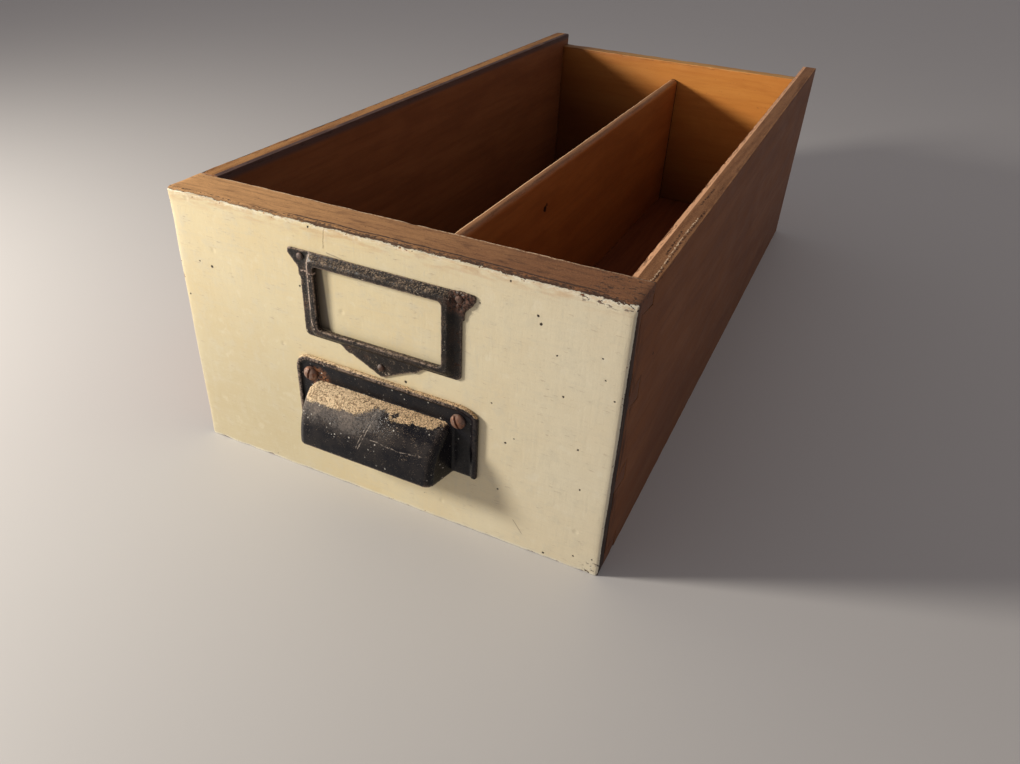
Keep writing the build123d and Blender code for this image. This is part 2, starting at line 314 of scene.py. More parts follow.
def shakenPlace(tree, size, amount):
    # object coordinates in millimetres, shaken so that marks drawn on them come out ragged
    flat = place(tree)
    shake = node(tree, "ShaderNodeTexNoise", {"Vector": flat, "Scale": 1 / size, "Detail": 3.0,
                                              "Roughness": 0.7}).outputs["Color"]
    centred = node(tree, "ShaderNodeVectorMath", {0: shake, 1: (0.5, 0.5, 0.5)},
                   operation="SUBTRACT").outputs[0]
    scaled = node(tree, "ShaderNodeVectorMath", {0: centred, "Scale": amount * 2}, operation="SCALE").outputs[0]
    return node(tree, "ShaderNodeVectorMath", {0: flat, 1: scaled}, operation="ADD").outputs[0]


def dots(tree, vector, spots):
    # spots are (x, y, z, radius)
    marks = []
    for x, y, z, radius in spots:
        away = distance(tree, vector, (x, y, z))
        marks.append(ramp(tree, away, radius + 0.12, radius - 0.12))
    return anyOf(tree, *marks)


def strokes(tree, across, up, lines, width):
    marks = []
    for (x0, z0), (x1, z1) in lines:
        length = sqrt((x1 - x0) ** 2 + (z1 - z0) ** 2)
        ux, uz = (x1 - x0) / length, (z1 - z0) / length
        dx = minus(tree, across, x0)
        dz = minus(tree, up, z0)
        run = plus(tree, times(tree, dx, ux), times(tree, dz, uz))
        off = minus(tree, times(tree, dx, uz), times(tree, dz, ux))
        marks.append(allOf(tree, between(tree, run, 0.0, length, 0.5),
                           between(tree, off, -width, width, width)))
    return anyOf(tree, *marks)


def weathered(tree, colour, amount, light, dark):
    # fine fibres stand up, pale and dark side by side
    fuzz = noise(tree, place(tree), 0.42, 4.0, 0.75)
    colour = mix(tree, ramp(tree, fuzz, 0.52, 0.66, 0.0, amount), colour, light)
    return mix(tree, ramp(tree, fuzz, 0.46, 0.34, 0.0, amount), colour, dark)


def grainedWood(name, grain, look):
    # grain is the axis that the fibres follow, 0 for X and 1 for Y
    material, tree, surface = newMaterial(name)
    along = [1.0, 1.0, 1.0]
    along[grain] = 0.055
    fibres = place(tree, along, look["shift"])
    along[grain] = 0.30
    cloudy = place(tree, along, look["shift"])
    flat = place(tree)
    x, y, z = split(tree, flat)
    arris = arrisDistance(tree)
    # slow bands of early and late wood under soft streaks and fine fibres
    bands = node(tree, "ShaderNodeTexWave",
                 {"Vector": fibres, "Scale": 1 / look["ringSize"], "Distortion": 7.0, "Detail": 2.0,
                  "Detail Scale": 0.5, "Detail Roughness": 0.5, "Phase Offset": 1.7},
                 wave_type="BANDS", bands_direction="DIAGONAL", wave_profile="SIN").outputs["Fac"]
    streaks = noise(tree, fibres, 2.6, 5.0, 0.6)
    hairs = noise(tree, fibres, 0.55, 3.0, 0.6)
    clouds = noise(tree, cloudy, 19.0, 4.0, 0.6, 0.5)
    pale = noise(tree, cloudy, 8.0, 4.0, 0.6)
    figure = look["figure"]
    colour = mix(tree, times(tree, bands, figure), look["light"], look["mid"])
    colour = mix(tree, ramp(tree, streaks, 0.40, 0.76, 0.0, figure), colour, look["dark"])
    colour = mix(tree, ramp(tree, hairs, 0.48, 0.80, 0.0, look["hairs"]), colour, look["dark"])
    colour = mix(tree, ramp(tree, clouds, 0.42, 0.68, 0.0, 0.6), colour, look["stain"])
    colour = mix(tree, ramp(tree, pale, 0.56, 0.74, 0.0, 0.45), colour, look["light"])
    # hands and years have bleached what faces up and left dirt in it
    up = ramp(tree, facing(tree)[2], 0.55, 0.9)
    grime = noise(tree, cloudy, 3.2, 5.0, 0.65)
    top = mix(tree, ramp(tree, streaks, 0.38, 0.66), look["top"], look["topDark"])
    top = mix(tree, ramp(tree, grime, 0.52, 0.72, 0.0, 0.65), top, look["stain"])
    top = weathered(tree, top, look["fuzz"], look["bare"], look["pore"])
    colour = mix(tree, up, colour, top)
    # rubbed and cracked along the arrises
    ragged = noise(tree, cloudy, 1.6, 5.0, 0.65)
    reach = plus(tree, times(tree, ragged, 2.6), -0.55)
    inside = minus(tree, reach, arris)
    pastJoint = ramp(tree, y, frontInner / mm - 0.4, frontInner / mm + 1.0)
    rubbed = allOf(tree, ramp(tree, inside, 0.0, 0.7, 0.0, look["rubbing"]), pastJoint)
    # along the top's inner arris a band of painted light: a painted highlight on the right side and the
    # divider, painted shade on the left side; the lip is painted shade down the left side's inner face
    low, high = look["paintedLightBand"]
    colour = mix(tree, rubbed, colour, look["bare"])
    paintedLightBand = allOf(tree, between(tree, x, low, high, 0.25), pastJoint,
                 ramp(tree, facing(tree)[2], 0.15, 0.4), ramp(tree, grime, 0.30, 0.46, 0.7, 1.0))
    colour = mix(tree, paintedLightBand, colour, look["paintedLightColour"])
    lip = allOf(tree, between(tree, z, *look["lip"], 2.4), ramp(tree, facing(tree)[0], 0.2, 0.6))
    colour = mix(tree, lip, colour, look["paintedLightColour"])
    border = allOf(tree, between(tree, inside, -0.35, -0.1, 0.2), ramp(tree, grime, 0.48, 0.56), pastJoint)
    colour = mix(tree, times(tree, border, look["cracks"]), colour, look["pore"])
    pits = noise(tree, flat, 0.9, 2.0, 0.5)
    pits = allOf(tree, ramp(tree, pits, 0.71, 0.75), ramp(tree, grime, 0.42, 0.6))
    colour = mix(tree, times(tree, pits, 0.6), colour, look["pore"])
    # darker towards its foot; on the back board this is painted shade, reaching higher at its left end
    height = plus(tree, z, times(tree, clouds, 20.0))
    height = plus(tree, height, times(tree, x, look["lean"]))
    foot = ramp(tree, height, look["footTop"], 8.0, 0.0, look["foot"])
    colour = mix(tree, foot, colour, look["pore"])
    if look["endDirt"]:
        # dirt rubbed in behind the front's lap
        upright = noise(tree, place(tree, (1, 1, 0.07), (5, 0, 3)), 0.9, 4.0, 0.6)
        endDirt = allOf(tree, ramp(tree, y, frontFace / mm + 18.0, frontFace / mm + 6.0),
                        ramp(tree, upright, 0.42, 0.60), ramp(tree, z, 108.0, 80.0, 0.2, 1.0),
                        inverse(tree, up), look["endDirt"])
        colour = mix(tree, endDirt, colour, look["pore"])
    shaken = shakenPlace(tree, 1.4, 0.9)
    if look["marks"]:
        colour = mix(tree, dots(tree, shaken, look["marks"]), colour, look["pore"])
    if look["splits"]:
        shakenX, shakenY, shakenZ = split(tree, shaken)
        crumbled = ramp(tree, noise(tree, flat, 0.9, 3.0, 0.7), 0.42, 0.52)
        splits = allOf(tree, strokes(tree, shakenX, shakenY, look["splits"], 0.26), up, crumbled, 0.85)
        slivers = allOf(tree, strokes(tree, shakenX, shakenY, look["slivers"], 0.13), up, crumbled)
        colour = mix(tree, splits, colour, look["pore"])
        colour = mix(tree, slivers, colour, look["sliver"])
    gap = ramp(tree, plus(tree, y, times(tree, grime, 1.8)), look["gap"], look["gap"] + 0.4)
    colour = mix(tree, gap, colour, (0.010, 0.005, 0.005))
    tree.links.new(colour, surface.inputs["Base Color"])
    dull = anyOf(tree, rubbed, pits, times(tree, up, 0.6))
    shine = ramp(tree, dull, 0.0, 1.0, look["roughness"], 0.74)
    shine = swung(tree, shine, pale, 0.25)
    tree.links.new(shine, surface.inputs["Roughness"])
    surface.inputs["Specular IOR Level"].default_value = look["gloss"]
    relief = bump(tree, streaks, 0.05)
    relief = bump(tree, hairs, 0.04, 0.7, relief)
    relief = bump(tree, inverse(tree, anyOf(tree, pits, border)), 0.15, 0.8, relief)
    relief = bump(tree, ragged, 0.14, 0.5, relief)
    tree.links.new(relief, surface.inputs["Normal"])
    return material


nowhere = (900, 901)        # a band that lies off the drawer
# the lip is a band of painted shade on the face that looks right, below the top arris, and the gap is where an
# open joint begins along the board
plainLook = {"marks": (), "paintedLightBand": nowhere, "lip": nowhere, "splits": (), "slivers": (), "gap": 900,
             "endDirt": 0.0,
             "lean": 0.0}       # how much lower the painted shade at the foot reaches for each millimetre to the right
boardLooks = {
    "side": {
        **plainLook,
        "light": (0.285, 0.108, 0.040), "mid": (0.235, 0.085, 0.031), "dark": (0.165, 0.056, 0.021),
        "pore": (0.035, 0.013, 0.007), "stain": (0.19, 0.066, 0.026), "bare": (0.52, 0.27, 0.115),
        "top": (0.36, 0.168, 0.074), "topDark": (0.24, 0.105, 0.045), "paintedLightColour": (1.0, 0.54, 0.29),
        "sliver": (0.95, 0.68, 0.44),
        "figure": 0.55, "hairs": 0.25, "fuzz": 0.55,
        "ringSize": 34.0, "shift": (3, 40, 7), "rubbing": 0.4, "cracks": 0.35, "foot": 0.22, "footTop": 70.0,
        "endDirt": 0.8,
        "roughness": 0.54, "gloss": 0.16, "marks": ((90.0, -150.0, 80.0, 0.7),),
        "paintedLightBand": (82.2, 83.7),           # a rubbed band along the board, painted as a highlight: from and to
        # splits in the top and pale slivers beside them: from and to, across and along
        "splits": (((88.7, -173.0), (88.9, -152.0)), ((88.9, -152.0), (88.3, -122.0)),
                   ((88.3, -122.0), (88.6, -96.0)), ((86.9, -141.0), (86.2, -119.0)),
                   ((85.6, -90.0), (86.0, -70.0))),
        "slivers": (((88.1, -172.0), (88.3, -154.0)), ((88.3, -152.0), (87.7, -124.0)),
                    ((87.7, -122.0), (88.1, -104.0))),
    },
    "back": {
        **plainLook,
        "light": (0.80, 0.325, 0.066), "mid": (0.70, 0.245, 0.046), "dark": (0.56, 0.18, 0.032),
        "pore": (0.060, 0.013, 0.005), "stain": (0.60, 0.205, 0.037), "bare": (0.82, 0.48, 0.17),
        "top": (0.78, 0.42, 0.13), "topDark": (0.55, 0.26, 0.07), "paintedLightColour": (0, 0, 0),
        "figure": 0.45, "hairs": 0.22, "fuzz": 0.3,
        # the back board's deep foot, leaning to the left, is painted shade cast by the left side and the
        # divider
        "ringSize": 46.0, "shift": (60, 3, 21), "rubbing": 0.5, "cracks": 0.2, "foot": 0.90, "footTop": 142.0,
        "lean": 0.7,
        "roughness": 0.42, "gloss": 0.36,
    },
    "bottom": {
        **plainLook,
        "light": (0.19, 0.050, 0.014), "mid": (0.16, 0.042, 0.012), "dark": (0.12, 0.030, 0.009),
        "pore": (0.03, 0.010, 0.005), "stain": (0.14, 0.036, 0.011), "bare": (0.24, 0.10, 0.04),
        "top": (0.165, 0.044, 0.013), "topDark": (0.125, 0.032, 0.010), "paintedLightColour": (0, 0, 0),
        "figure": 0.4, "hairs": 0.2, "fuzz": 0.06,
        "ringSize": 40.0, "shift": (11, 5, 2), "rubbing": 0.2, "cracks": 0.3, "foot": 0.0, "footTop": 70.0,
        "roughness": 0.66, "gloss": 0.12,
    },
    "divider": {
        **plainLook,
        "light": (0.45, 0.155, 0.036), "mid": (0.37, 0.122, 0.028), "dark": (0.26, 0.078, 0.019),
        "pore": (0.03, 0.010, 0.005), "stain": (0.31, 0.096, 0.023), "bare": (0.62, 0.33, 0.14),
        "top": (0.43, 0.200, 0.085), "topDark": (0.28, 0.120, 0.048), "paintedLightColour": (0.80, 0.50, 0.28),
        "figure": 0.5, "hairs": 0.22, "fuzz": 0.45,
        "ringSize": 30.0, "shift": (33, 9, 50), "rubbing": 0.35, "cracks": 0.0, "foot": 0.28, "footTop": 70.0,
        "roughness": 0.46, "gloss": 0.34,
        "marks": ((3.8, -42.4, 77.1, 1.7), (3.8, -40.4, 78.8, 0.8), (3.8, -115.0, 64.0, 0.5)),
        # the band is a painted highlight along the divider's left arris
        "paintedLightBand": (-1.6, -0.2), "gap": backLow.y / mm - 0.9,
    },
}
leftLook = dict(boardLooks["side"])
# the left side's inner rounding and the face below it turn away from the lamp, so its band and lip are painted
# shade
leftLook.update({"top": (0.48, 0.235, 0.085), "topDark": (0.31, 0.140, 0.052),
                 "paintedLightColour": (0.115, 0.068, 0.058),
                 "rubbing": 0.12, "paintedLightBand": (-84.2, -81.8), "lip": (110.2, 113.0), "splits": (), "slivers": (),
                 "marks": ()})
leftWood = grainedWood("leftWood", 1, leftLook)
rightWood = grainedWood("rightWood", 1, boardLooks["side"])
backWood = grainedWood("backWood", 0, boardLooks["back"])
bottomWood = grainedWood("bottomWood", 1, boardLooks["bottom"])
dividerWood = grainedWood("dividerWood", 1, boardLooks["divider"])
print("board woods ready")


frontLook = {
    "paint": (0.742, 0.640, 0.415), "paintWarm": (0.722, 0.592, 0.350), "paintGrey": (0.64, 0.578, 0.435),
    "paintCool": (0.745, 0.695, 0.59), "paintShadeLowLeft": (0.42, 0.37, 0.25),
    "flake": (0.83, 0.79, 0.66),        # thick paint on its broken edge
    "scuff": (0.36, 0.25, 0.15),
    "speck": (0.030, 0.020, 0.013),
    "seam": (0.040, 0.020, 0.012),      # the crack where the paint stops
    "topLeft": (0.72, 0.385, 0.155), "topRight": (0.27, 0.112, 0.045), "topDirt": (0.12, 0.050, 0.022),
    "rearHighlight": (0.92, 0.66, 0.42), "windowShadow": (0.060, 0.042, 0.036),
    "endGrain": (0.028, 0.015, 0.011), "endStreak": (0.10, 0.055, 0.036),
    "pins": (0.185, 0.072, 0.032),
    "topReach": 0.75, "endReach": 0.9, "footReach": 0.35,     # how far the paint goes round each arris
    "lap": 6.0,
    # dark specks on the face: across, up and radius
    "specks": ((59.2, 100.1, 0.42), (60.4, 97.5, 0.5), (66.6, 87.9, 0.3), (38.9, 99.2, 0.25),
               (70.0, 73.3, 0.35),
               (77.0, 54.1, 0.4), (50.5, 47.1, 0.4), (53.6, 50.0, 0.25), (79.4, 37.5, 0.35), (48.5, 25.0, 0.35),
               (87.1, 77.2, 0.3), (80.0, 5.9, 0.35), (87.2, 7.4, 0.3), (68.3, 2.0, 0.45), (-73.7, 84.0, 0.55),
               (-27.0, 110.3, 0.4), (-87.6, 69.0, 0.35), (-33.0, 86.5, 0.35), (10.3, 59.5, 0.5),
               (44.5, 62.1, 0.3), (81.5, 91.4, 0.3), (83.3, 83.9, 0.3), (49.3, 109.6, 0.3), (-79.5, 85.0, 0.3)),
    # hairline cracks: from and to, across and up
    "cracks": (((-20.7, 110.8), (-21.3, 104.0)), ((55.3, 12.7), (58.9, 7.7)), ((-14.0, 101.5), (-20.0, 102.4))),
}


def paintedBoard(name, look, wood):
    material, tree, surface = newMaterial(name)
    flat = place(tree)
    x, y, z = split(tree, flat)
    depth = minus(tree, y, frontFace / mm)           # behind the painted face
    beside = maths(tree, "ABSOLUTE", x)
    below = minus(tree, boxHeight / mm, z)
    fibres = place(tree, (0.055, 1, 1), (20, 4, 9))
    streaks = noise(tree, fibres, 2.2, 5.0, 0.6)
    hairs = noise(tree, fibres, 0.5, 3.0, 0.6)
    blotches = noise(tree, flat, 30.0, 4.0)
    grime = noise(tree, place(tree, (0.20, 1, 1), (7, 0, 2)), 1.9, 5.0, 0.68)
    fine = noise(tree, place(tree, (0.6, 1, 1)), 1.0, 5.0, 0.7)
    slow = noise(tree, flat, 13.0, 3.0, 0.5)
    # bare wood inside; on top golden at the left and brown at the right, partly the wood's wear and dirt and
    # partly painted light falling off away from the lamp at the left
    inner = mix(tree, ramp(tree, streaks, 0.38, 0.74), wood["light"], wood["dark"])
    inner = mix(tree, ramp(tree, blotches, 0.4, 0.7, 0.0, 0.6), inner, wood["stain"])
    inner = mix(tree, ramp(tree, hairs, 0.5, 0.8, 0.0, 0.3), inner, wood["pore"])
    raggedAcross = swung(tree, x, blotches, 90.0)
    top = mix(tree, ramp(tree, raggedAcross, -80.0, 75.0), look["topLeft"], look["topRight"])
    soiled = times(tree, ramp(tree, grime, 0.46, 0.70), ramp(tree, x, -90.0, 90.0, 0.45, 0.9))
    top = mix(tree, soiled, top, look["topDirt"])
    top = mix(tree, ramp(tree, streaks, 0.44, 0.76, 0.0, 0.3), top, look["topDirt"])
    pits = ramp(tree, noise(tree, flat, 0.8, 2.0, 0.5), 0.66, 0.72)
    top = mix(tree, times(tree, pits, 0.7), top, wood["pore"])
    top = weathered(tree, top, 0.5, wood["bare"], look["topDirt"])
    # the rubbed rear arris of the top, with a painted highlight along it that is strongest to the left
    rearHighlightMask = allOf(tree, ramp(tree, y, frontInner / mm - 1.3, frontInner / mm - 0.6),
                 ramp(tree, fine, 0.42, 0.54), ramp(tree, x, 84.0, 50.0, 0.35, 0.85))
    top = mix(tree, rearHighlightMask, top, look["rearHighlight"])
    up = ramp(tree, facing(tree)[2], 0.35, 0.7)
    bare = mix(tree, up, inner, top)
    # both ends: a dirty lap, then the pins between the tails
    upright = noise(tree, place(tree, (1, 1, 0.07), (5, 0, 3)), 0.9, 4.0, 0.6)
    lap = mix(tree, ramp(tree, upright, 0.46, 0.66), look["endGrain"], look["endStreak"])
    pins = mix(tree, ramp(tree, upright, 0.4, 0.7), look["pins"], wood["stain"])
    lapEdge = swung(tree, depth, upright, 9.0)
    lapEdge = plus(tree, lapEdge, ramp(tree, z, 78.0, 110.0, 0.0, 3.8))
    ends = mix(tree, ramp(tree, lapEdge, look["lap"] - 0.8, look["lap"] + 0.8), lap, pins)
    atEnds = allOf(tree, ramp(tree, beside, rightHigh.x / mm - 0.9, rightHigh.x / mm - 0.3),
                   inverse(tree, up))
    bare = mix(tree, atEnds, bare, ends)
    # the paint goes a little round each arris and stops raggedly
    atTop = ramp(tree, below, 3.0, 1.2)
    atFoot = ramp(tree, z, 1.6, 0.6)
    wander = plus(tree, times(tree, minus(tree, fine, 0.5), 2.4),
                   times(tree, minus(tree, slow, 0.5), 1.6))
    reach = ramp(tree, atTop, 0.0, 1.0, look["endReach"], look["topReach"])
    reach = ramp(tree, atFoot, 0.0, 1.0, reach, look["footReach"])
    calm = ramp(tree, atTop, 0.0, 1.0, 0.3, 1.0)
    border = plus(tree, reach, times(tree, wander, calm))
    past = minus(tree, depth, border)
    # broken flakes near the right end of the top arris and at the lower right corner
    flaky = allOf(tree, between(tree, x, 75.0, 95.0, 4.0), ramp(tree, below, 3.6, 1.2))
    corner = node(tree, "ShaderNodeVectorMath", {0: flat, 1: (90, frontFace / mm, 0)}, operation="DISTANCE")
    flaky = anyOf(tree, flaky, ramp(tree, corner.outputs["Value"], 8.0, 3.5))
    crumbs = noise(tree, place(tree, (0.55, 1, 1), (3, 1, 8)), 1.3, 3.0, 0.7)
    broken = allOf(tree, flaky, ramp(tree, crumbs, 0.53, 0.57))
    away = allOf(tree, flaky, ramp(tree, crumbs, 0.58, 0.61))
    chips = ramp(tree, minus(tree, times(tree, ramp(tree, crumbs, 0.60, 0.74), 1.7),
                             arrisDistance(tree)), 0.0, 0.15)
    painted = allOf(tree, ramp(tree, past, 0.12, -0.12), inverse(tree, anyOf(tree, away, chips)))
    # dark cracks above the paint's upper edge, one along it and one further back
    first = between(tree, past, 0.15, 0.75, 0.25)
    wavy = swung(tree, depth, slow, -2.5)
    second = allOf(tree, between(tree, wavy, 3.1, 3.6, 0.3), between(tree, raggedAcross, -30.0, 70.0, 12.0),
                   ramp(tree, fine, 0.38, 0.5))
    farther = allOf(tree, between(tree, wavy, 1.9, 2.2, 0.3), ramp(tree, fine, 0.50, 0.58))
    first = allOf(tree, first, ramp(tree, grime, 0.36, 0.5), ramp(tree, raggedAcross, -100.0, 0.0, 0.25, 1.0))
    cracked = allOf(tree, up, anyOf(tree, first, second, farther))
    bare = mix(tree, times(tree, cracked, 0.85), bare, look["seam"])
    # brush marks, yellowing, specks, hairlines and faint scratches
    brushed = noise(tree, place(tree, (0.06, 1, 1), (5, 0, 3)), 0.9, 5.0, 0.6)
    combed = noise(tree, place(tree, (1, 1, 0.05), (5, 0, 3)), 1.2, 4.0, 0.55)
    paint = mix(tree, ramp(tree, blotches, 0.3, 0.7), look["paint"], look["paintWarm"])
    paint = mix(tree, ramp(tree, x, -20.0, 90.0, 0.0, 0.45), paint, look["paintCool"])
    # painted shade: the paint darker and greyer towards the lower left, standing in for the lamp's light
    # falling off there
    lowLeftShade = allOf(tree, ramp(tree, x, 10.0, -60.0), ramp(tree, z, 112.0, 10.0), 0.5)
    paint = mix(tree, lowLeftShade, paint, look["paintShadeLowLeft"])
    paint = mix(tree, ramp(tree, brushed, 0.45, 0.75, 0.0, 0.30), paint, look["paintGrey"])
    paint = mix(tree, ramp(tree, combed, 0.5, 0.8, 0.0, 0.25), paint, look["paintGrey"])
    mottled = noise(tree, flat, 5.5, 5.0, 0.68)
    paint = mix(tree, ramp(tree, mottled, 0.50, 0.68, 0.0, 0.42), paint, look["paintGrey"])
    paint = mix(tree, ramp(tree, mottled, 0.44, 0.30, 0.0, 0.18), paint, look["flake"])
    scuffs = noise(tree, place(tree, (0.16, 1, 1), (9, 0, 4)), 0.55, 3.0, 0.65)
    scuffs = allOf(tree, ramp(tree, scuffs, 0.60, 0.70), ramp(tree, mottled, 0.40, 0.62), 0.42)
    paint = mix(tree, scuffs, paint, look["scuff"])
    thin = allOf(tree, ramp(tree, below, 7.0, 1.0), ramp(tree, grime, 0.42, 0.66), 0.5)
    paint = mix(tree, thin, paint, wood["bare"])
    shaken = shakenPlace(tree, 0.8, 0.35)
    spots = [(across, frontFace / mm, height, radius) for across, height, radius in look["specks"]]
    specks = dots(tree, shaken, spots)
    shakenX, shakenY, shakenZ = split(tree, shaken)
    onPlane = node(tree, "ShaderNodeCombineXYZ", {0: shakenX, 1: shakenZ}).outputs[0]
    speckDistance, speckColour = cells(tree, onPlane, 9.0)
    speckSize = times(tree, ramp(tree, split(tree, speckColour)[0], 0.55, 1.0), 0.034)
    tiny = ramp(tree, minus(tree, speckSize, speckDistance), 0.0, 0.012, 0.0, 0.65)
    hairlines = strokes(tree, shakenX, shakenZ, look["cracks"], 0.13)
    scratchField = noise(tree, place(tree, (0.35, 1, 0.09), (0, 0, 0), (0, 0.5, 0)), 0.55, 1.0, 0.4)
    scratches = ramp(tree, scratchField, 0.735, 0.77, 0.0, 0.4)
    paint = mix(tree, scratches, paint, look["paintGrey"])
    paint = mix(tree, times(tree, hairlines, 0.45), paint, look["topDirt"])
    # painted shadow that the holder's raised left end casts on the paint inside its window
    windowShadow = allOf(tree, between(tree, z, 72.0, 98.0, 1.0),
                     ramp(tree, plus(tree, x, times(tree, z, 0.06)), -16.4, -17.4),
                     ramp(tree, x, -27.0, -26.0), 0.84)
    paint = mix(tree, windowShadow, paint, look["windowShadow"])
    paint = mix(tree, anyOf(tree, specks, tiny), paint, look["speck"])
    edgeOn = allOf(tree, ramp(tree, past, -0.8, -0.15), 0.6)
    paint = mix(tree, anyOf(tree, broken, edgeOn), paint, look["flake"])
    colour = mix(tree, painted, bare, paint)
    hollow = allOf(tree, away, 0.75)
    colour = mix(tree, hollow, colour, look["seam"])
    tree.links.new(colour, surface.inputs["Base Color"])
    roughBare = ramp(tree, streaks, 0.0, 1.0, 0.55, 0.70)
    roughPaint = ramp(tree, brushed, 0.3, 0.7, 0.38, 0.52)
    rough = node(tree, "ShaderNodeMix", {0: painted, 2: roughBare, 3: roughPaint}, data_type="FLOAT")
    tree.links.new(rough.outputs[0], surface.inputs["Roughness"])
    surface.inputs["Specular IOR Level"].default_value = 0.36
    dents = ramp(tree, cells(tree, place(tree, (1, 1, 1), (2, 0, 6)), 17.0)[0], 0.0, 0.09)
    relief = bump(tree, streaks, 0.06)
    relief = bump(tree, brushed, 0.09, 0.6, relief)
    relief = bump(tree, combed, 0.06, 0.6, relief)
    relief = bump(tree, times(tree, mottled, painted), 0.30, 0.5, relief)
    relief = bump(tree, times(tree, dents, painted), 0.20, 0.7, relief)
    relief = bump(tree, inverse(tree, anyOf(tree, specks, tiny, cracked, hollow)), 0.25, 0.9, relief)
    relief = bump(tree, painted, 0.25, 1.0, relief)
    tree.links.new(relief, surface.inputs["Normal"])
    return material


frontPaint = paintedBoard("frontPaint", frontLook, boardLooks["side"])
print("front paint ready")


boardShape = {
    "slicePitch": 2.4,         # cuts across a board, so that its arrises can wear unevenly
    "arrisRound": 0.28,
    "wearDepth": 0.45,
    "guideLines": (0.9, 2.2, 5.0, 11.0),   # cuts beside a long arris
}
joint = {
    "tailCount": 3,
    "lap": 6.0,
    "pinWidth": 9.5,
    "halfPin": 8.0,
    "splay": 2.0,
}


def prism(name, outline, axis, low, high):
    # outline is drawn on the other two axes, in their order
    bm = bmesh.new()
    first, second = [a for a in range(3) if a != axis]
    corners = []
    for u, v in outline:
        spot = [0.0, 0.0, 0.0]
        spot[axis], spot[first], spot[second] = low, u, v
        corners.append(bm.verts.new(spot))
    face = bm.faces.new(corners)
    made = bmesh.ops.extrude_face_region(bm, geom=[face])
    shift = [0.0, 0.0, 0.0]
    shift[axis] = high - low
    bmesh.ops.translate(bm, vec=shift, verts=[v for v in made["geom"] if isinstance(v, bmesh.types.BMVert)])
    bmesh.ops.recalc_face_normals(bm, faces=bm.faces)
    return bm


def roundEdges(bm, width, segments, chosen):
    edges = [e for e in bm.edges if chosen(e)]
    bmesh.ops.bevel(bm, geom=edges, offset=width * mm, offset_type="OFFSET", segments=segments,
                    profile=0.5, affect="EDGES", clamp_overlap=True)


def onLine(edge, **spots):
    # both ends of the edge lie on these coordinates
    for axis, value in spots.items():
        for vert in edge.verts:
            if abs(getattr(vert.co, axis) - value) > 0.01 * mm:
                return False
    return True


def sharp(edge, angle=30):
    return len(edge.link_faces) == 2 and edge.calc_face_angle(0) > radians(angle)


def sliceBoard(bm, axis, places):
    normal = [0.0, 0.0, 0.0]
    normal[axis] = 1.0
    for spot in places:
        point = [0.0, 0.0, 0.0]
        point[axis] = spot
        bmesh.ops.bisect_plane(bm, geom=bm.verts[:] + bm.edges[:] + bm.faces[:], plane_co=point,
                               plane_no=normal, dist=0.02 * mm)


def evenly(low, high, pitch):
    count = max(2, round((high - low) / (pitch * mm)))
    return [low + (high - low) * i / count for i in range(1, count)]


def besideEnds(low, high, distances):
    spots = []
    for distance in distances:
        if distance * mm < (high - low) * 0.45:
            spots += [low + distance * mm, high - distance * mm]
    return spots


def arrisLines(name, bm):
    # the sharp edges alone, as a wire that wear is measured from
    wire = bm.copy()
    bmesh.ops.delete(wire, geom=[e for e in wire.edges if not sharp(e)], context="EDGES_FACES")
    loose = [v for v in wire.verts if not v.link_edges]
    bmesh.ops.delete(wire, geom=loose, context="VERTS")
    faces = wire.faces[:]
    bmesh.ops.delete(wire, geom=faces, context="FACES_ONLY")
    return newObject(name, wire)


def wearTree(material):
    # wears and nicks a mesh near its arrises and keeps each point's distance to them
    tree, start, sockets = newGeometryTree("arrisWear", {
        "Geometry": ("NodeSocketGeometry", None), "Arrises": ("NodeSocketObject", None),
        "Depth": ("NodeSocketFloat", 0.4 * mm), "Reach": ("NodeSocketFloat", 2.5 * mm),
        "Patch": ("NodeSocketFloat", 7.0 * mm), "Seed": ("NodeSocketFloat", 0.0)})
    wire = node(tree, "GeometryNodeObjectInfo", {"Object": start["Arrises"]}, transform_space="ORIGINAL")
    near = node(tree, "GeometryNodeProximity", {0: wire.outputs["Geometry"]}, target_element="EDGES")
    distance = near.outputs["Distance"]
    kept = node(tree, "GeometryNodeStoreNamedAttribute",
                {"Geometry": start["Geometry"], "Name": "arris", "Value": distance},
                data_type="FLOAT", domain="POINT")
    falloff = node(tree, "ShaderNodeMapRange", {0: distance, 1: 0.0, 2: start["Reach"], 3: 1.0, 4: 0.0},
                   interpolation_type="SMOOTHSTEP").outputs[0]
    spot = node(tree, "GeometryNodeInputPosition").outputs[0]
    scale = maths(tree, "DIVIDE", 1.0, start["Patch"])
    broad = node(tree, "ShaderNodeTexNoise", {"Vector": spot, "W": start["Seed"], "Scale": scale,
                                              "Detail": 3.0},
                 noise_dimensions="4D").outputs[0]
    nicks = node(tree, "ShaderNodeTexNoise",
                 {"Vector": spot, "W": start["Seed"], "Scale": times(tree, scale, 3.1), "Detail": 2.0},
                 noise_dimensions="4D").outputs[0]
    amount = anyOf(tree, ramp(tree, broad, 0.35, 0.85), times(tree, ramp(tree, nicks, 0.58, 0.8), 1.4))
    depth = allOf(tree, amount, falloff, start["Depth"])
    inward = node(tree, "ShaderNodeVectorMath",
                  {0: node(tree, "GeometryNodeInputNormal").outputs[0], "Scale": times(tree, depth, -1.0)},
                  operation="SCALE").outputs[0]
    moved = node(tree, "GeometryNodeSetPosition", {"Geometry": kept.outputs[0], "Offset": inward})
    closeTree(tree, moved.outputs[0], material)
    return tree, sockets


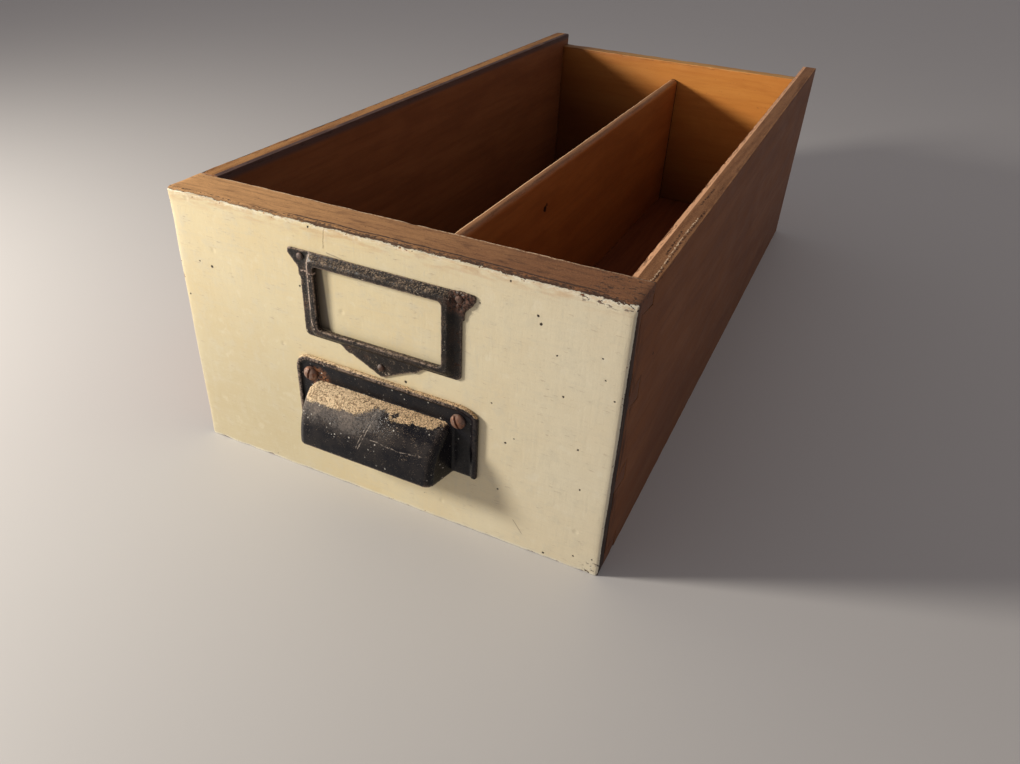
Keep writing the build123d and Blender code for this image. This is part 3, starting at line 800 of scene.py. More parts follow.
def makeBoard(nodeName, bm, grainAxis, material, seed, rounded=(), wear=1.0, holes=()):
    low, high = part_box(nodeName)
    pieceName = nodeName + "_worn"
    wire = arrisLines(pieceName + "_arrises", bm)
    for width, segments, chosen in rounded:
        roundEdges(bm, width, segments, chosen)
    roundEdges(bm, boardShape["arrisRound"], 2, sharp)
    if holes:
        bm = subtract(bm, holes)
    for axis in range(3):
        pitch = boardShape["slicePitch"]
        if axis == grainAxis:
            sliceBoard(bm, axis, evenly(low[axis], high[axis], pitch))
        else:
            sliceBoard(bm, axis, besideEnds(low[axis], high[axis], boardShape["guideLines"]))
            sliceBoard(bm, axis, evenly(low[axis], high[axis], pitch * 5))
    obj = newObject(pieceName, bm)
    obj.data.materials.append(material)
    tree, sockets = wearTree(material)
    runTree(obj, tree, sockets, {"Arrises": wire, "Depth": boardShape["wearDepth"] * wear * mm,
                                 "Seed": float(seed)})
    bpy.data.objects.remove(wire)
    finishPiece(obj, nodeName)
    return obj


def tailPoints(settings, height):
    # the tails' corners on Y and Z, from the bottom up
    lap, pin, half, splay = (settings[key] * mm for key in ("lap", "pinWidth", "halfPin", "splay"))
    count = settings["tailCount"]
    width = (height - 2 * half - (count - 1) * pin) / count
    tails = []
    for index in range(count):
        low = half + index * (width + pin)
        tails.append([(frontInner, low), (frontFace + lap, low - splay),
                      (frontFace + lap, low + width + splay), (frontInner, low + width)])
    return tails


def subtract(bm, cutters):
    # takes closed cutters away from a closed board
    board = newObject("board", bm)
    for cutter in cutters:
        tool = newObject("cutter", cutter)
        modifier = board.modifiers.new("cut", "BOOLEAN")
        modifier.operation = "DIFFERENCE"
        modifier.solver = "EXACT"
        modifier.object = tool
        graph = bpy.context.evaluated_depsgraph_get()
        mesh = bpy.data.meshes.new_from_object(board.evaluated_get(graph))
        board.modifiers.remove(modifier)
        board.data = mesh
        bpy.data.objects.remove(tool)
    cut = bmesh.new()
    cut.from_mesh(board.data)
    bpy.data.objects.remove(board)
    bmesh.ops.remove_doubles(cut, verts=cut.verts, dist=0.001 * mm)
    return cut


frontShape = {"wearDown": 0.8, "wearBack": 1.9, "cornerRound": 1.1}


def makeFront():
    outline = [(frontFace, 0), (frontInner, 0), (frontInner, boxHeight),
               (frontFace + frontShape["wearBack"] * mm, boxHeight),
               (frontFace, boxHeight - frontShape["wearDown"] * mm)]
    bm = prism("front", outline, 0, frontLow.x, frontHigh.x)
    thickness = leftHigh.x - leftLow.x
    cutters = []
    for inner, outer in ((leftLow.x - 1 * mm, leftLow.x + thickness),
                         (rightHigh.x - thickness, rightHigh.x + 1 * mm)):
        for tail in tailPoints(joint, boxHeight):
            reach = [(y + (1 * mm if y == frontInner else 0), z) for y, z in tail]
            cutters.append(prism("tail", reach, 0, inner, outer))
    bm = subtract(bm, cutters)
    corners = (frontLow.x, frontHigh.x)
    rounded = ((frontShape["cornerRound"], 3,
                lambda e: onLine(e, y=frontFace) and any(onLine(e, x=corner) for corner in corners)),)
    makeBoard("front_board", bm, 0, frontPaint, 3, rounded)


def sideOutline():
    end = leftHigh.y
    corner = 1.8 * mm
    arc = [(end - corner + corner * sin(t), boxHeight - corner + corner * cos(t))
           for t in [radians(90 - 15 * i) for i in range(7)]]
    points = [(frontInner, 0), (end, 0), *arc, (frontInner, boxHeight)]
    for tail in reversed(tailPoints(joint, boxHeight)):
        points += [tail[3], tail[2], tail[1], tail[0]]
    return points


nailHoles = {"heights": (23.5, 57.5, 91.5), "radius": 1.25, "depth": 0.9}


def nailHole(outer, side, height):
    middle = (backLow.y + backHigh.y) / 2
    outline = [(middle + nailHoles["radius"] * mm * cos(t), height * mm + nailHoles["radius"] * mm * sin(t))
               for t in [2 * pi * i / 20 for i in range(20)]]
    ends = sorted((outer - side * nailHoles["depth"] * mm, outer + side * mm))
    return prism("hole", outline, 0, *ends)


def makeSide(nodeName, low, high, inner, outer, material, outerRound, seed):
    bm = prism(nodeName, sideOutline(), 0, low, high)
    holes = [nailHole(outer, -1 if outer < inner else 1, z) for z in nailHoles["heights"]]
    rounded = ((2.7, 5, lambda e: onLine(e, x=inner, z=boxHeight)),
               (outerRound, 3, lambda e: onLine(e, x=outer, z=boxHeight)))
    makeBoard(nodeName, bm, 1, material, seed, rounded, holes=holes)


def rectangle(low, high, axis):
    first, second = [a for a in range(3) if a != axis]
    return [(low[first], low[second]), (high[first], low[second]),
            (high[first], high[second]), (low[first], high[second])]


def makePlainBoard(nodeName, axis, grainAxis, material, seed, wear=1.0, topRound=0.0):
    low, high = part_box(nodeName)
    bm = prism(nodeName, rectangle(low, high, axis), axis, low[axis], high[axis])
    rounded = ()
    if topRound:
        rounded = ((topRound, 3, lambda e: onLine(e, z=high.z) and (onLine(e, x=low.x) or onLine(e,
                                                                                                 x=high.x))),)
    makeBoard(nodeName, bm, grainAxis, material, seed, rounded, wear)


makeFront()
makeSide("left_side", leftLow.x, leftHigh.x, leftHigh.x, leftLow.x, leftWood, 0.7, 5)
makeSide("right_side", rightLow.x, rightHigh.x, rightLow.x, rightHigh.x, rightWood, 1.8, 8)
makePlainBoard("back_board", 0, 0, backWood, 13)
makePlainBoard("bottom_panel", 1, 1, bottomWood, 21, 0.3)
makePlainBoard("divider", 1, 1, dividerWood, 34, topRound=2.1)


japanColours = {
    "rust": (0.17, 0.078, 0.043),
    "rustDark": (0.045, 0.023, 0.015),
    "crest": (0.46, 0.33, 0.25),      # rubbed through on what stands proud
    "speckle": (0.42, 0.31, 0.215),
    "pit": (0.035, 0.022, 0.014),
}
holderFinish = {
    "black": (0.013, 0.010, 0.009), "brown": (0.036, 0.024, 0.018),
    "voxel": 0.30,           # size of the remeshed faces
    "rustDepth": 0.13, "rustSize": 1.5, "dustDepth": 0.10, "dustFrom": 61.2,
    "dustTilt": 0.0, "archAt": 0.0, "archHeight": 0.0,
    "dustLeft": (0.60, 0.45, 0.31), "dustRight": (0.50, 0.36, 0.23), "dustDark": (0.13, 0.085, 0.055),
    "rusted": 0.66,          # how much of the black is gone
    "speckled": 0.74, "rubbed": 0.85, "grit": 0.9, "gritColour": (0.66, 0.56, 0.42),
    "shadeFade": (22.0, 30.0, 1.0, 0.35),     # painted shade: less rubbed and speckled towards the right, where it lies in shade: from and to, and how much
    "hazeAndSheen": 0.04, "hazeAndSheenColour": (0.15, 0.14, 0.15), "sheenFilm": (900, 901, 1, 0),
    "dusty": 0.30,
    "roughness": 0.36, "gloss": 0.26,
    "lump": (32.6, 98.2), "lumpReach": 6.5, "lumpHeight": 0.85, "lumpColour": (0.115, 0.050, 0.032),
    "ends": (0.0, 0.0), "wider": 0.0, "drop": 0.0,
    "seed": 2.0,
    # the raised left edge rubbed to bare metal, and a scratch across it: from and to, across and up
    "scratches": (((-27.0, 102.0), (-27.2, 89.6)), ((-27.2, 89.6), (-27.6, 75.5)),
                  ((-27.6, 75.5), (-26.4, 72.0)),
                  ((-31.6, 93.4), (-24.8, 94.1))),
    "scratchWidth": 0.20, "scratchFrom": -3.0, "scratchColour": (0.74, 0.56, 0.46), "scratchShake": 0.30,
}
pullFinish = {
    "black": (0.006, 0.006, 0.009), "brown": (0.014, 0.012, 0.013),
    "voxel": 0.36,
    "rustDepth": 0.045, "rustSize": 2.2, "dustDepth": 0.24, "dustFrom": 42.2,
    "dustTilt": 0.095, "archAt": 1.0, "archHeight": 2.4,      # the dust stops higher to the right, with an arch
    "dustLeft": (0.90, 0.69, 0.44), "dustRight": (0.82, 0.58, 0.34), "dustDark": (0.30, 0.19, 0.105),
    "rusted": 0.10,
    "speckled": 0.36, "rubbed": 0.55, "grit": 1.0, "gritColour": (0.62, 0.58, 0.52),
    "shadeFade": (28.0, 34.0, 1.0, 0.12),
    "hazeAndSheen": 0.10, "hazeAndSheenColour": (0.25, 0.208, 0.178),
    "sheenFilm": (34.6, 42.8, 14.0, -16.0),      # a painted sheen with a thin film of dust under the left end: up, then across
    "dusty": 1.0,
    "roughness": 0.15, "gloss": 0.22,
    "lump": (-27.6, 49.4), "lumpReach": 5.8, "lumpHeight": 0.0, "lumpColour": (0.25, 0.105, 0.050),
    # at the cup's front its left and right ends lean this far, and the plate is this much wider and lower
    # at its right end
    "ends": (-1.6, -2.3), "wider": 1.5, "drop": 0.9,
    "seed": 6.0,
    "scratches": (((-4.4, 32.6), (0.2, 45.4)), ((0.2, 45.4), (6.6, 52.2)), ((-3.3, 32.9), (1.4, 45.2)),
                  ((1.4, 37.9), (13.0, 37.0)), ((13.0, 37.0), (22.9, 38.0)), ((8.0, 50.0), (13.0, 46.0))),
    "scratchWidth": 0.09, "scratchFrom": 4.0, "scratchColour": (0.44, 0.37, 0.31), "scratchShake": 0.55,
}


def japannedMetal(name, colours, finish):
    material, tree, surface = newMaterial(name)
    flat = place(tree)
    x, y, z = split(tree, flat)
    up = facing(tree)[2]
    worn = node(tree, "ShaderNodeAttribute", attribute_name="worn").outputs["Fac"]
    dustMask = node(tree, "ShaderNodeAttribute", attribute_name="dust").outputs["Fac"]
    broad = noise(tree, flat, 7.0, 4.0, 0.6)
    patch = noise(tree, flat, 2.6, 3.0, 0.6)
    fine = noise(tree, flat, 0.8, 5.0, 0.7)
    grains = noise(tree, flat, 0.40, 3.0, 0.75)
    colour = mix(tree, ramp(tree, broad, 0.42, 0.68), finish["black"], finish["brown"])
    # the black wears through in patches, where rust starts, and on the crests
    blend = plus(tree, times(tree, broad, 0.45), times(tree, fine, 0.6))
    start = 0.72 - 0.22 * finish["rusted"]
    rusted = ramp(tree, blend, start, start + 0.09)
    rust = mix(tree, ramp(tree, grains, 0.40, 0.62), colours["rustDark"], colours["rust"])
    colour = mix(tree, times(tree, rusted, 0.7), colour, rust)
    lump = (finish["lump"][0], frontFace / mm - 1.0, finish["lump"][1])
    away = distance(tree, flat, lump)
    lumpy = ramp(tree, away, finish["lumpReach"], finish["lumpReach"] * 0.5)
    colour = mix(tree, times(tree, lumpy, ramp(tree, fine, 0.40, 0.54)), colour, finish["lumpColour"])
    # painted shade: rubbing and speckles fade out to the right, where the stamping lies in shade
    shadeFade = ramp(tree, x, *finish["shadeFade"])
    crest = allOf(tree, ramp(tree, worn, 0.16, 0.6), ramp(tree, fine, 0.42, 0.56), finish["rubbed"], shadeFade)
    colour = mix(tree, crest, colour, colours["crest"])
    # fine pale speckles, thickest where it faces up
    level = swung(tree, grains, patch, 0.35)
    level = plus(tree, level, ramp(tree, up, -0.2, 0.7, -0.03, 0.06))
    start = 0.70 - 0.17 * finish["speckled"]
    speckled = ramp(tree, level, start, start + 0.05)
    colour = mix(tree, allOf(tree, speckled, shadeFade, 0.8), colour, colours["speckle"])
    # a pale haze on what faces up, and under the cup's left end a film of dust that also paints the lamp's
    # broad sheen on the dome
    hazeAndSheen = allOf(tree, ramp(tree, up, 0.0, 0.6), ramp(tree, broad, 0.35, 0.65), finish["hazeAndSheen"])
    low, high, near, far = finish["sheenFilm"]
    sheenFilm = allOf(tree, ramp(tree, z, low, high), ramp(tree, x, near, far),
                 ramp(tree, broad, 0.3, 0.6, 0.5, 1.0),
                 ramp(tree, y, frontFace / mm - 2.6, frontFace / mm - 4.0),
                 ramp(tree, fine, 0.38, 0.60, 0.35, 1.2))
    hazeAndSheen = maths(tree, "ADD", hazeAndSheen, times(tree, sheenFilm, 0.92), True)
    colour = mix(tree, hazeAndSheen, colour, finish["hazeAndSheenColour"])
    # single grains of grit and small chips
    grit, gritColour = cells(tree, flat, 1.25)
    gritSize = times(tree, ramp(tree, split(tree, gritColour)[0], 0.6, 1.0), 0.30)
    grit = ramp(tree, minus(tree, gritSize, grit), 0.0, 0.06)
    grit = allOf(tree, grit, ramp(tree, patch, 0.46, 0.58), finish["grit"])
    colour = mix(tree, grit, colour, finish["gritColour"])
    shaken = split(tree, shakenPlace(tree, 1.6, finish["scratchShake"]))
    scratchFace = frontFace / mm - finish["scratchFrom"]
    scratched = strokes(tree, shaken[0], shaken[2], finish["scratches"], finish["scratchWidth"])
    scratched = allOf(tree, scratched, ramp(tree, fine, 0.44, 0.53), 0.75,
                      ramp(tree, y, scratchFace, scratchFace - 2.0))
    colour = mix(tree, scratched, colour, finish["scratchColour"])
    # dust lies in grains on what faces up, with dark pits between them
    cover = swung(tree, dustMask, grains, 1.3)
    cover = times(tree, ramp(tree, cover, 0.40, 0.58), ramp(tree, dustMask, 0.02, 0.2))
    toRight = ramp(tree, x, -26.0, 18.0)
    pale = mix(tree, toRight, finish["dustLeft"], finish["dustRight"])
    dust = mix(tree, ramp(tree, fine, 0.36, 0.58), finish["dustDark"], pale)
    dust = mix(tree, ramp(tree, patch, 0.50, 0.70, 0.0, 0.6), dust, pale)
    pitted = times(tree, ramp(tree, grains, 0.49, 0.40), ramp(tree, toRight, 0.0, 1.0, 0.45, 0.95))
    dust = mix(tree, pitted, dust, colours["pit"])
    colour = mix(tree, cover, colour, dust)
    tree.links.new(colour, surface.inputs["Base Color"])
    dull = anyOf(tree, cover, rusted, grit, speckled, hazeAndSheen)
    rough = ramp(tree, dull, 0.0, 1.0, finish["roughness"], 0.90)
    rough = swung(tree, rough, broad, 0.30)
    tree.links.new(rough, surface.inputs["Roughness"])
    surface.inputs["Specular IOR Level"].default_value = finish["gloss"]
    relief = bump(tree, fine, 0.10, 0.6)
    relief = bump(tree, times(tree, grains, dull), 0.35, 0.9, relief)
    tree.links.new(relief, surface.inputs["Normal"])
    return material


def castTree(material):
    # evens a remeshed stamping out, keeps how far each point stands proud, and adds rust and dust
    tree, start, sockets = newGeometryTree("rustAndDust", {
        "Geometry": ("NodeSocketGeometry", None),
        "Rust Depth": ("NodeSocketFloat", 0.1 * mm), "Rust Size": ("NodeSocketFloat", 2.0 * mm),
        "Dust Depth": ("NodeSocketFloat", 0.2 * mm), "Dust From": ("NodeSocketFloat", 40 * mm),
        "Dust Tilt": ("NodeSocketFloat", 0.0), "Arch At": ("NodeSocketFloat", 0.0),
        "Arch Height": ("NodeSocketFloat", 0.0),
        "Dusty": ("NodeSocketFloat", 1.0), "Lump": ("NodeSocketVector", None),
        "Lump Reach": ("NodeSocketFloat", 1 * mm), "Lump Height": ("NodeSocketFloat", 0.0),
        "Wood": ("NodeSocketFloat", 0.0),
        "Seed": ("NodeSocketFloat", 0.0)})
    spot = node(tree, "GeometryNodeInputPosition").outputs[0]
    normal = node(tree, "GeometryNodeInputNormal").outputs[0]

    def blurred(times):
        made = node(tree, "GeometryNodeBlurAttribute", data_type="FLOAT_VECTOR")
        tree.links.new(spot, made.inputs["Value"])
        made.inputs["Iterations"].default_value = times
        return made.outputs["Value"]

    even = node(tree, "GeometryNodeSetPosition", {"Geometry": start["Geometry"], "Position": blurred(2)})
    away = node(tree, "ShaderNodeVectorMath", {0: spot, 1: blurred(14)}, operation="SUBTRACT").outputs[0]
    proud = node(tree, "ShaderNodeVectorMath", {0: away, 1: normal}, operation="DOT_PRODUCT").outputs["Value"]
    proud = times(tree, proud, 1 / (0.35 * mm))
    kept = node(tree, "GeometryNodeStoreNamedAttribute",
                {"Geometry": even.outputs[0], "Name": "worn", "Value": proud}, data_type="FLOAT",
                domain="POINT")
    # dust: faces up, above a height, in ragged patches
    x, y, z = node(tree, "ShaderNodeSeparateXYZ", {0: spot}).outputs
    up = node(tree, "ShaderNodeSeparateXYZ", {0: normal}).outputs[2]
    patches = node(tree, "ShaderNodeTexNoise", {"Vector": spot, "W": start["Seed"], "Scale": 1 / (6 * mm),
                                                "Detail": 5.0, "Roughness": 0.65},
                                                noise_dimensions="4D").outputs[0]
    shifted = times(tree, minus(tree, patches, 0.5), 7 * mm)
    height = plus(tree, z, shifted)
    tilted = times(tree, plus(tree, x, 28 * mm), start["Dust Tilt"])
    besideArch = maths(tree, "ABSOLUTE", minus(tree, x, start["Arch At"]))
    arch = times(tree, ramp(tree, besideArch, 8 * mm, 1 * mm), start["Arch Height"])
    height = minus(tree, height, plus(tree, tilted, arch))
    # its border fades over this height, less to the right of the arch
    border = ramp(tree, x, 0.0, 14 * mm, 7.0 * mm, 2.5 * mm)
    above = maths(tree, "DIVIDE", minus(tree, height, start["Dust From"]), border)
    above = ramp(tree, above, -0.5, 0.5)
    dust = allOf(tree, ramp(tree, up, 0.42, 0.72), above, start["Dusty"],
                 ramp(tree, patches, 0.26, 0.46, 0.35, 1.0))
    kept = node(tree, "GeometryNodeStoreNamedAttribute",
                {"Geometry": kept.outputs[0], "Name": "dust", "Value": dust}, data_type="FLOAT", domain="POINT")
    grains = node(tree, "ShaderNodeTexNoise", {"Vector": spot, "Scale": 1 / (0.9 * mm), "Detail": 3.0,
                                               "Roughness": 0.7}).outputs[0]
    rust = node(tree, "ShaderNodeTexNoise",
                {"Vector": spot, "W": start["Seed"], "Scale": maths(tree, "DIVIDE", 1.0, start["Rust Size"]),
                 "Detail": 4.0, "Roughness": 0.6}, noise_dimensions="4D").outputs[0]
    outward = times(tree, minus(tree, rust, 0.62), start["Rust Depth"])
    outward = times(tree, outward, 3.0)
    piled = allOf(tree, dust, ramp(tree, grains, 0.3, 0.7), start["Dust Depth"])
    reach = distance(tree, spot, start["Lump"])
    lumpy = node(tree, "ShaderNodeMapRange", {0: reach, 1: start["Lump Reach"], 2: 0.0, 3: 0.0, 4: 1.0},
                 interpolation_type="SMOOTHSTEP").outputs[0]
    lumpy = allOf(tree, lumpy, ramp(tree, rust, 0.35, 0.65), start["Lump Height"])
    total = plus(tree, plus(tree, outward, piled), lumpy)
    offset = node(tree, "ShaderNodeVectorMath", {0: normal, "Scale": total}, operation="SCALE").outputs[0]
    moved = node(tree, "GeometryNodeSetPosition", {"Geometry": kept.outputs[0], "Offset": offset})
    # nothing grows into the wood behind
    flush = node(tree, "ShaderNodeCombineXYZ", {0: x, 1: maths(tree, "MINIMUM", y, start["Wood"]), 2: z})
    moved = node(tree, "GeometryNodeSetPosition", {"Geometry": moved.outputs[0], "Position": flush.outputs[0]})
    closeTree(tree, moved.outputs[0], material)
    return tree, sockets


def makeStamping(nodeName, finish, material):
    bm = bmesh.new()
    bm.from_mesh(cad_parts[nodeName].data)
    bmesh.ops.remove_doubles(bm, verts=bm.verts, dist=0.002 * mm)
    leftLean, rightLean = finish["ends"]
    for vert in bm.verts:
        x, z, depth = vert.co.x / mm, vert.co.z / mm, (frontFace - vert.co.y) / mm
        if depth > 1.2 and -32 < x < -20:
            vert.co.x += leftLean * min(1.0, depth / 4) * mm
        elif depth > 1.2 and 20 < x < 34 and z < 54:
            vert.co.x += rightLean * min(1.0, depth / 12) * mm
        elif x > 33.5:
            vert.co.x += finish["wider"] * min(1.0, (x - 33.5) / 4) * mm
        if z > 55:
            vert.co.z -= finish["drop"] * max(0.0, (x + 33) / 66) * mm
    obj = newObject(nodeName + "_stamping", bm)
    remesh = obj.modifiers.new("even", "REMESH")
    remesh.mode = "VOXEL"
    remesh.voxel_size = finish["voxel"] * mm
    bpy.context.view_layer.update()
    graph = bpy.context.evaluated_depsgraph_get()
    mesh = bpy.data.meshes.new_from_object(obj.evaluated_get(graph))
    obj.modifiers.remove(remesh)
    obj.data = mesh
    mesh.materials.clear()
    mesh.materials.append(material)
    tree, sockets = castTree(material)
    lump = (finish["lump"][0] * mm, frontFace, finish["lump"][1] * mm)
    runTree(obj, tree, sockets, {
        "Rust Depth": finish["rustDepth"] * mm, "Rust Size": finish["rustSize"] * mm,
        "Dust Depth": finish["dustDepth"] * mm, "Dust From": finish["dustFrom"] * mm,
        "Dust Tilt": finish["dustTilt"], "Arch At": finish["archAt"] * mm,
        "Arch Height": finish["archHeight"] * mm, "Dusty": finish["dusty"], "Lump": lump,
        "Lump Reach": finish["lumpReach"] * mm,
        "Lump Height": finish["lumpHeight"] * mm, "Wood": frontFace, "Seed": finish["seed"]})
    finishPiece(obj, nodeName, 60)


holderJapan = japannedMetal("holderJapan", japanColours, holderFinish)
pullJapan = japannedMetal("pullJapan", japanColours, pullFinish)
makeStamping("label_holder", holderFinish, holderJapan)
makeStamping("cup_pull", pullFinish, pullJapan)


rustyColours = {"steel": (0.27, 0.175, 0.135), "rust": (0.27, 0.115, 0.062), "dark": (0.045, 0.024, 0.017)}
pinColours = {"steel": (0.15, 0.115, 0.10), "rust": (0.12, 0.060, 0.040), "dark": (0.022, 0.015, 0.012)}


def rustySteel(name, colours):
    material, tree, surface = newMaterial(name)
    flat = place(tree)
    broad = noise(tree, flat, 2.4, 4.0, 0.6)
    fine = noise(tree, flat, 0.45, 5.0, 0.7)
    colour = mix(tree, ramp(tree, broad, 0.38, 0.62), colours["steel"], colours["rust"])
    pits = ramp(tree, fine, 0.52, 0.66)
    colour = mix(tree, times(tree, pits, 0.8), colour, colours["dark"])
    tree.links.new(colour, surface.inputs["Base Color"])
    tree.links.new(ramp(tree, fine, 0.3, 0.7, 0.42, 0.80), surface.inputs["Roughness"])
    surface.inputs["Metallic"].default_value = 0.35
    relief = bump(tree, inverse(tree, pits), 0.10, 0.8)
    relief = bump(tree, broad, 0.25, 0.6, relief)
    tree.links.new(relief, surface.inputs["Normal"])
    return material


def fastenerTree(material):
    # a turned head with or without a slot, on a pointed shank, set on each point along its axis
    tree, start, sockets = newGeometryTree("fastener", {
        "Geometry": ("NodeSocketGeometry", None),
        "Head Radius": ("NodeSocketFloat", 2 * mm), "Crown": ("NodeSocketFloat", 1 * mm),
        "Rim": ("NodeSocketFloat", 0.2 * mm), "Shank Radius": ("NodeSocketFloat", 1 * mm),
        "Shank Length": ("NodeSocketFloat", 10 * mm), "Slot Width": ("NodeSocketFloat", 0.8 * mm),
        "Slot Depth": ("NodeSocketFloat", 1 * mm), "Slotted": ("NodeSocketBool", False),
        "Rust Depth": ("NodeSocketFloat", 0.05 * mm), "Seed": ("NodeSocketFloat", 0.0)})
    ball = node(tree, "GeometryNodeMeshUVSphere", {"Segments": 32, "Rings": 24, "Radius": 1.0})
    x, y, z = node(tree, "ShaderNodeSeparateXYZ", {0: node(tree,
                                                           "GeometryNodeInputPosition").outputs[0]}).outputs
    wide = start["Head Radius"]
    # the upper half becomes the crown, the lower half the flat underside
    crown = times(tree, maths(tree, "MAXIMUM", z, 0.0), start["Crown"])
    under = times(tree, maths(tree, "LESS_THAN", z, -0.01), start["Rim"])
    level = plus(tree, minus(tree, crown, under), start["Rim"])
    shaped = node(tree, "ShaderNodeCombineXYZ", {0: times(tree, x, wide),
                                                 1: times(tree, y, wide), 2: level})
    head = node(tree, "GeometryNodeSetPosition",
                {"Geometry": ball.outputs["Mesh"], "Position": shaped.outputs[0]})
    # slot
    size = node(tree, "ShaderNodeCombineXYZ", {0: start["Slot Width"],
                                               1: times(tree, wide, 2.4), 2: start["Slot Depth"]})
    cube = node(tree, "GeometryNodeMeshCube", {"Size": size.outputs[0]})
    top = plus(tree, start["Crown"], start["Rim"])
    lift = node(tree, "ShaderNodeCombineXYZ",
                {2: minus(tree, top, times(tree, start["Slot Depth"], 0.35))})
    cutter = node(tree, "GeometryNodeTransform",
                  {"Geometry": cube.outputs["Mesh"], "Translation": lift.outputs[0]})
    cut = node(tree, "GeometryNodeMeshBoolean", {"Mesh 1": head.outputs[0]}, operation="DIFFERENCE",
               solver="EXACT")
    tree.links.new(cutter.outputs[0], cut.inputs["Mesh 2"])
    chosen = node(tree, "GeometryNodeSwitch", {"Switch": start["Slotted"], "False": head.outputs[0],
                                               "True": cut.outputs[0]}, input_type="GEOMETRY")
    # shank, drawn out to a point over its last part
    rod = node(tree, "GeometryNodeMeshCylinder", {"Vertices": 20, "Side Segments": 24, "Fill Segments": 1,
                                                  "Radius": 1.0, "Depth": 1.0})
    a, b, c = node(tree, "ShaderNodeSeparateXYZ", {0: node(tree,
                                                           "GeometryNodeInputPosition").outputs[0]}).outputs
    taper = ramp(tree, c, -0.5, -0.36, 0.12, 1.0)
    slim = times(tree, taper, start["Shank Radius"])
    drawn = times(tree, minus(tree, c, 0.5), start["Shank Length"])
    drawn = plus(tree, drawn, times(tree, start["Rim"], 0.6))
    pointed = node(tree, "ShaderNodeCombineXYZ", {0: times(tree, a, slim),
                                                  1: times(tree, b, slim), 2: drawn})
    shank = node(tree, "GeometryNodeSetPosition",
                 {"Geometry": rod.outputs["Mesh"], "Position": pointed.outputs[0]})
    both = node(tree, "GeometryNodeJoinGeometry")
    tree.links.new(shank.outputs[0], both.inputs[0])
    tree.links.new(chosen.outputs[0], both.inputs[0])
    # one on each point
    axis = node(tree, "GeometryNodeInputNamedAttribute", {"Name": "axis"}, data_type="FLOAT_VECTOR").outputs[0]
    turn = node(tree, "GeometryNodeInputNamedAttribute", {"Name": "turn"}, data_type="FLOAT").outputs[0]
    aligned = node(tree, "FunctionNodeAlignRotationToVector", {"Vector": axis}, axis="Z")
    spin = node(tree, "ShaderNodeCombineXYZ", {2: turn})
    euler = node(tree, "FunctionNodeEulerToRotation", {0: spin.outputs[0]})
    turned = node(tree, "FunctionNodeRotateRotation", {0: aligned.outputs[0], 1: euler.outputs[0]},
                  rotation_space="LOCAL")
    placed = node(tree, "GeometryNodeInstanceOnPoints",
                  {"Points": start["Geometry"], "Instance": both.outputs[0],
                                                         "Rotation": turned.outputs[0]})
    real = node(tree, "GeometryNodeRealizeInstances", {0: placed.outputs[0]})
    spot = node(tree, "GeometryNodeInputPosition").outputs[0]
    pitted = node(tree, "ShaderNodeTexNoise", {"Vector": spot, "W": start["Seed"], "Scale": 1 / (1.1 * mm),
                                               "Detail": 3.0}, noise_dimensions="4D").outputs[0]
    depth = times(tree, ramp(tree, pitted, 0.42, 0.72), times(tree, start["Rust Depth"], -1.0))
    inward = node(tree, "ShaderNodeVectorMath",
                  {0: node(tree, "GeometryNodeInputNormal").outputs[0], "Scale": depth},
                  operation="SCALE").outputs[0]
    moved = node(tree, "GeometryNodeSetPosition", {"Geometry": real.outputs[0], "Offset": inward})
    closeTree(tree, moved.outputs[0], material)
    return tree, sockets


def setFasteners(nodeName, sizes, seats, material):
    # seats are (place under the head, axis out of the head, turn in degrees)
    mesh = bpy.data.meshes.new(nodeName + "_seats")
    mesh.from_pydata([spot for spot, axis, turn in seats], [], [])
    mesh.attributes.new("axis", "FLOAT_VECTOR", "POINT")
    mesh.attributes.new("turn", "FLOAT", "POINT")
    for index, (spot, axis, turn) in enumerate(seats):
        mesh.attributes["axis"].data[index].vector = axis
        mesh.attributes["turn"].data[index].value = radians(turn)
    obj = bpy.data.objects.new(nodeName + "_turned", mesh)
    scene.collection.objects.link(obj)
    tree, sockets = fastenerTree(material)
    values = {label: value if isinstance(value, bool) else value * mm for label, value in sizes.items()}
    values["Seed"] = float(len(seats))
    runTree(obj, tree, sockets, values)
    obj.data.name = nodeName + "_turned"
    finishPiece(obj, nodeName, 35)


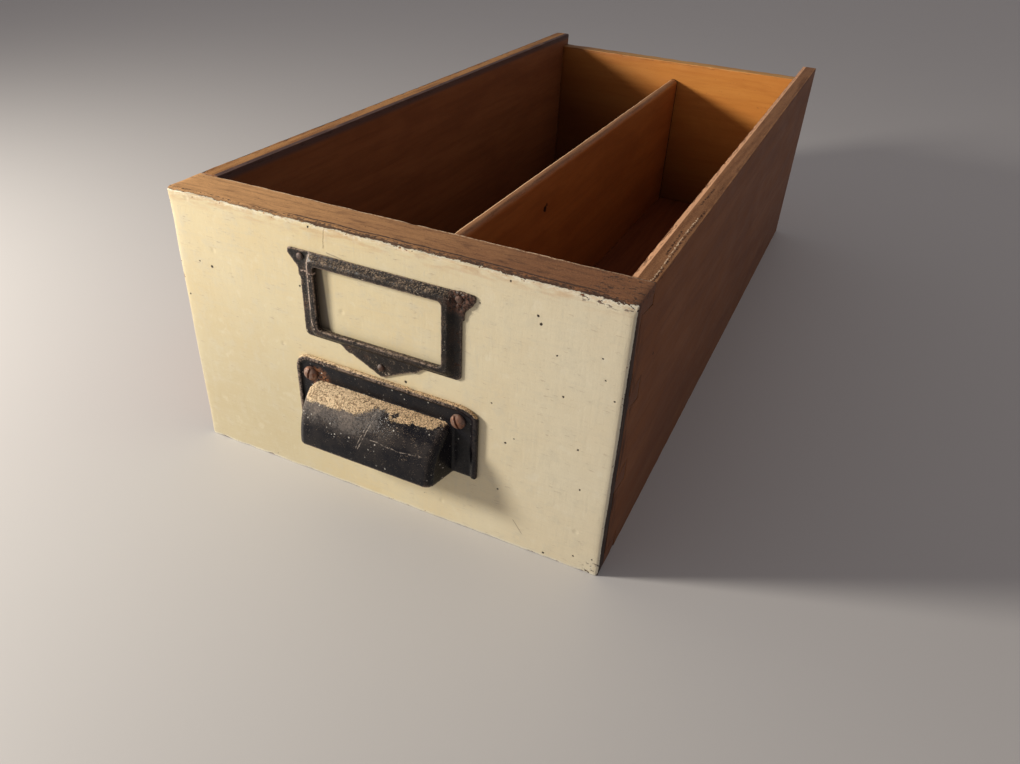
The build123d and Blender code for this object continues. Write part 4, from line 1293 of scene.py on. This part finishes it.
screw = {"Head Radius": 2.95, "Crown": 1.75, "Rim": 0.40, "Shank Radius": 1.45, "Shank Length": 12.6,
         "Slot Width": 0.9, "Slot Depth": 1.5, "Slotted": True, "Rust Depth": 0.14}
pin = {"Head Radius": 1.42, "Crown": 0.72, "Rim": 0.16, "Shank Radius": 0.62, "Shank Length": 9.0,
       "Rust Depth": 0.10}
sideNail = {"Head Radius": 1.17, "Crown": 0.08, "Rim": 0.76, "Shank Radius": 0.67, "Shank Length": 24.8,
            "Rust Depth": 0.05}
bottomNail = {"Head Radius": 1.97, "Crown": 0.34, "Rim": 0.42, "Shank Radius": 0.87, "Shank Length": 19.8,
              "Rust Depth": 0.07}
fastenerPlaces = {
    "offset": 0.5,                     # of the holder and the pull, from the front's middle
    "screwSpacing": 63.5, "screwHeight": 50.6, "plateSheet": 0.9, "slotTurns": (-12, 24),
    "upperPin": (31.45, 99.0), "lowerPin": 62.9, "holderSheet": 0.8,
    "sideNailHeights": (23.5, 57.5, 91.5), "sideNailHead": 0.9,
    "bottomNails": (-60, -20, 20, 60),
}


def placeFasteners(places, material, pinMaterial):
    out = Vector((0, -1, 0))
    shift = places["offset"]
    half = places["screwSpacing"] / 2
    face = frontFace - places["plateSheet"] * mm
    seats = [(Vector(((shift + side * half) * mm, face, places["screwHeight"] * mm)), out, turn)
             for side, turn in zip((-1, 1), places["slotTurns"])]
    setFasteners("pull_screws", screw, seats, material)
    face = frontFace - places["holderSheet"] * mm
    pinX, pinZ = places["upperPin"]
    spots = [(shift - pinX, pinZ), (shift + pinX, pinZ), (shift, places["lowerPin"])]
    seats = [(Vector((x * mm, face, z * mm)), out, 40.0 * index) for index, (x, z) in enumerate(spots)]
    setFasteners("label_holder_pins", pin, seats, pinMaterial)
    middle = (backLow.y + backHigh.y) / 2
    seats = []
    for side, outer in ((-1, leftLow.x), (1, rightHigh.x)):
        seat = outer - side * places["sideNailHead"] * mm
        seats += [(Vector((seat, middle, z * mm)), Vector((side, 0, 0)),
                   30.0 * z) for z in places["sideNailHeights"]]
    setFasteners("side_nails", sideNail, seats, material)
    seats = [(Vector((x * mm, middle, bottomLow.z)), Vector((0, 0, -1)),
              25.0 * x) for x in places["bottomNails"]]
    setFasteners("bottom_nails", bottomNail, seats, material)


placeFasteners(fastenerPlaces, rustySteel("rustySteel", rustyColours), rustySteel("pinSteel", pinColours))


def layFloor(settings):
    material, tree, surface = newMaterial("paleFloor")
    mottle = noise(tree, place(tree), 60.0, 3.0)
    low = tuple(c * 0.985 for c in settings["floor"])
    tree.links.new(mix(tree, mottle, settings["floor"], low), surface.inputs["Base Color"])
    surface.inputs["Roughness"].default_value = 0.55
    bm = bmesh.new()
    bmesh.ops.create_grid(bm, x_segments=4, y_segments=4, size=settings["floorHalf"])
    floor = newObject("floor", bm)
    floor.data.materials.append(material)


layFloor(light)
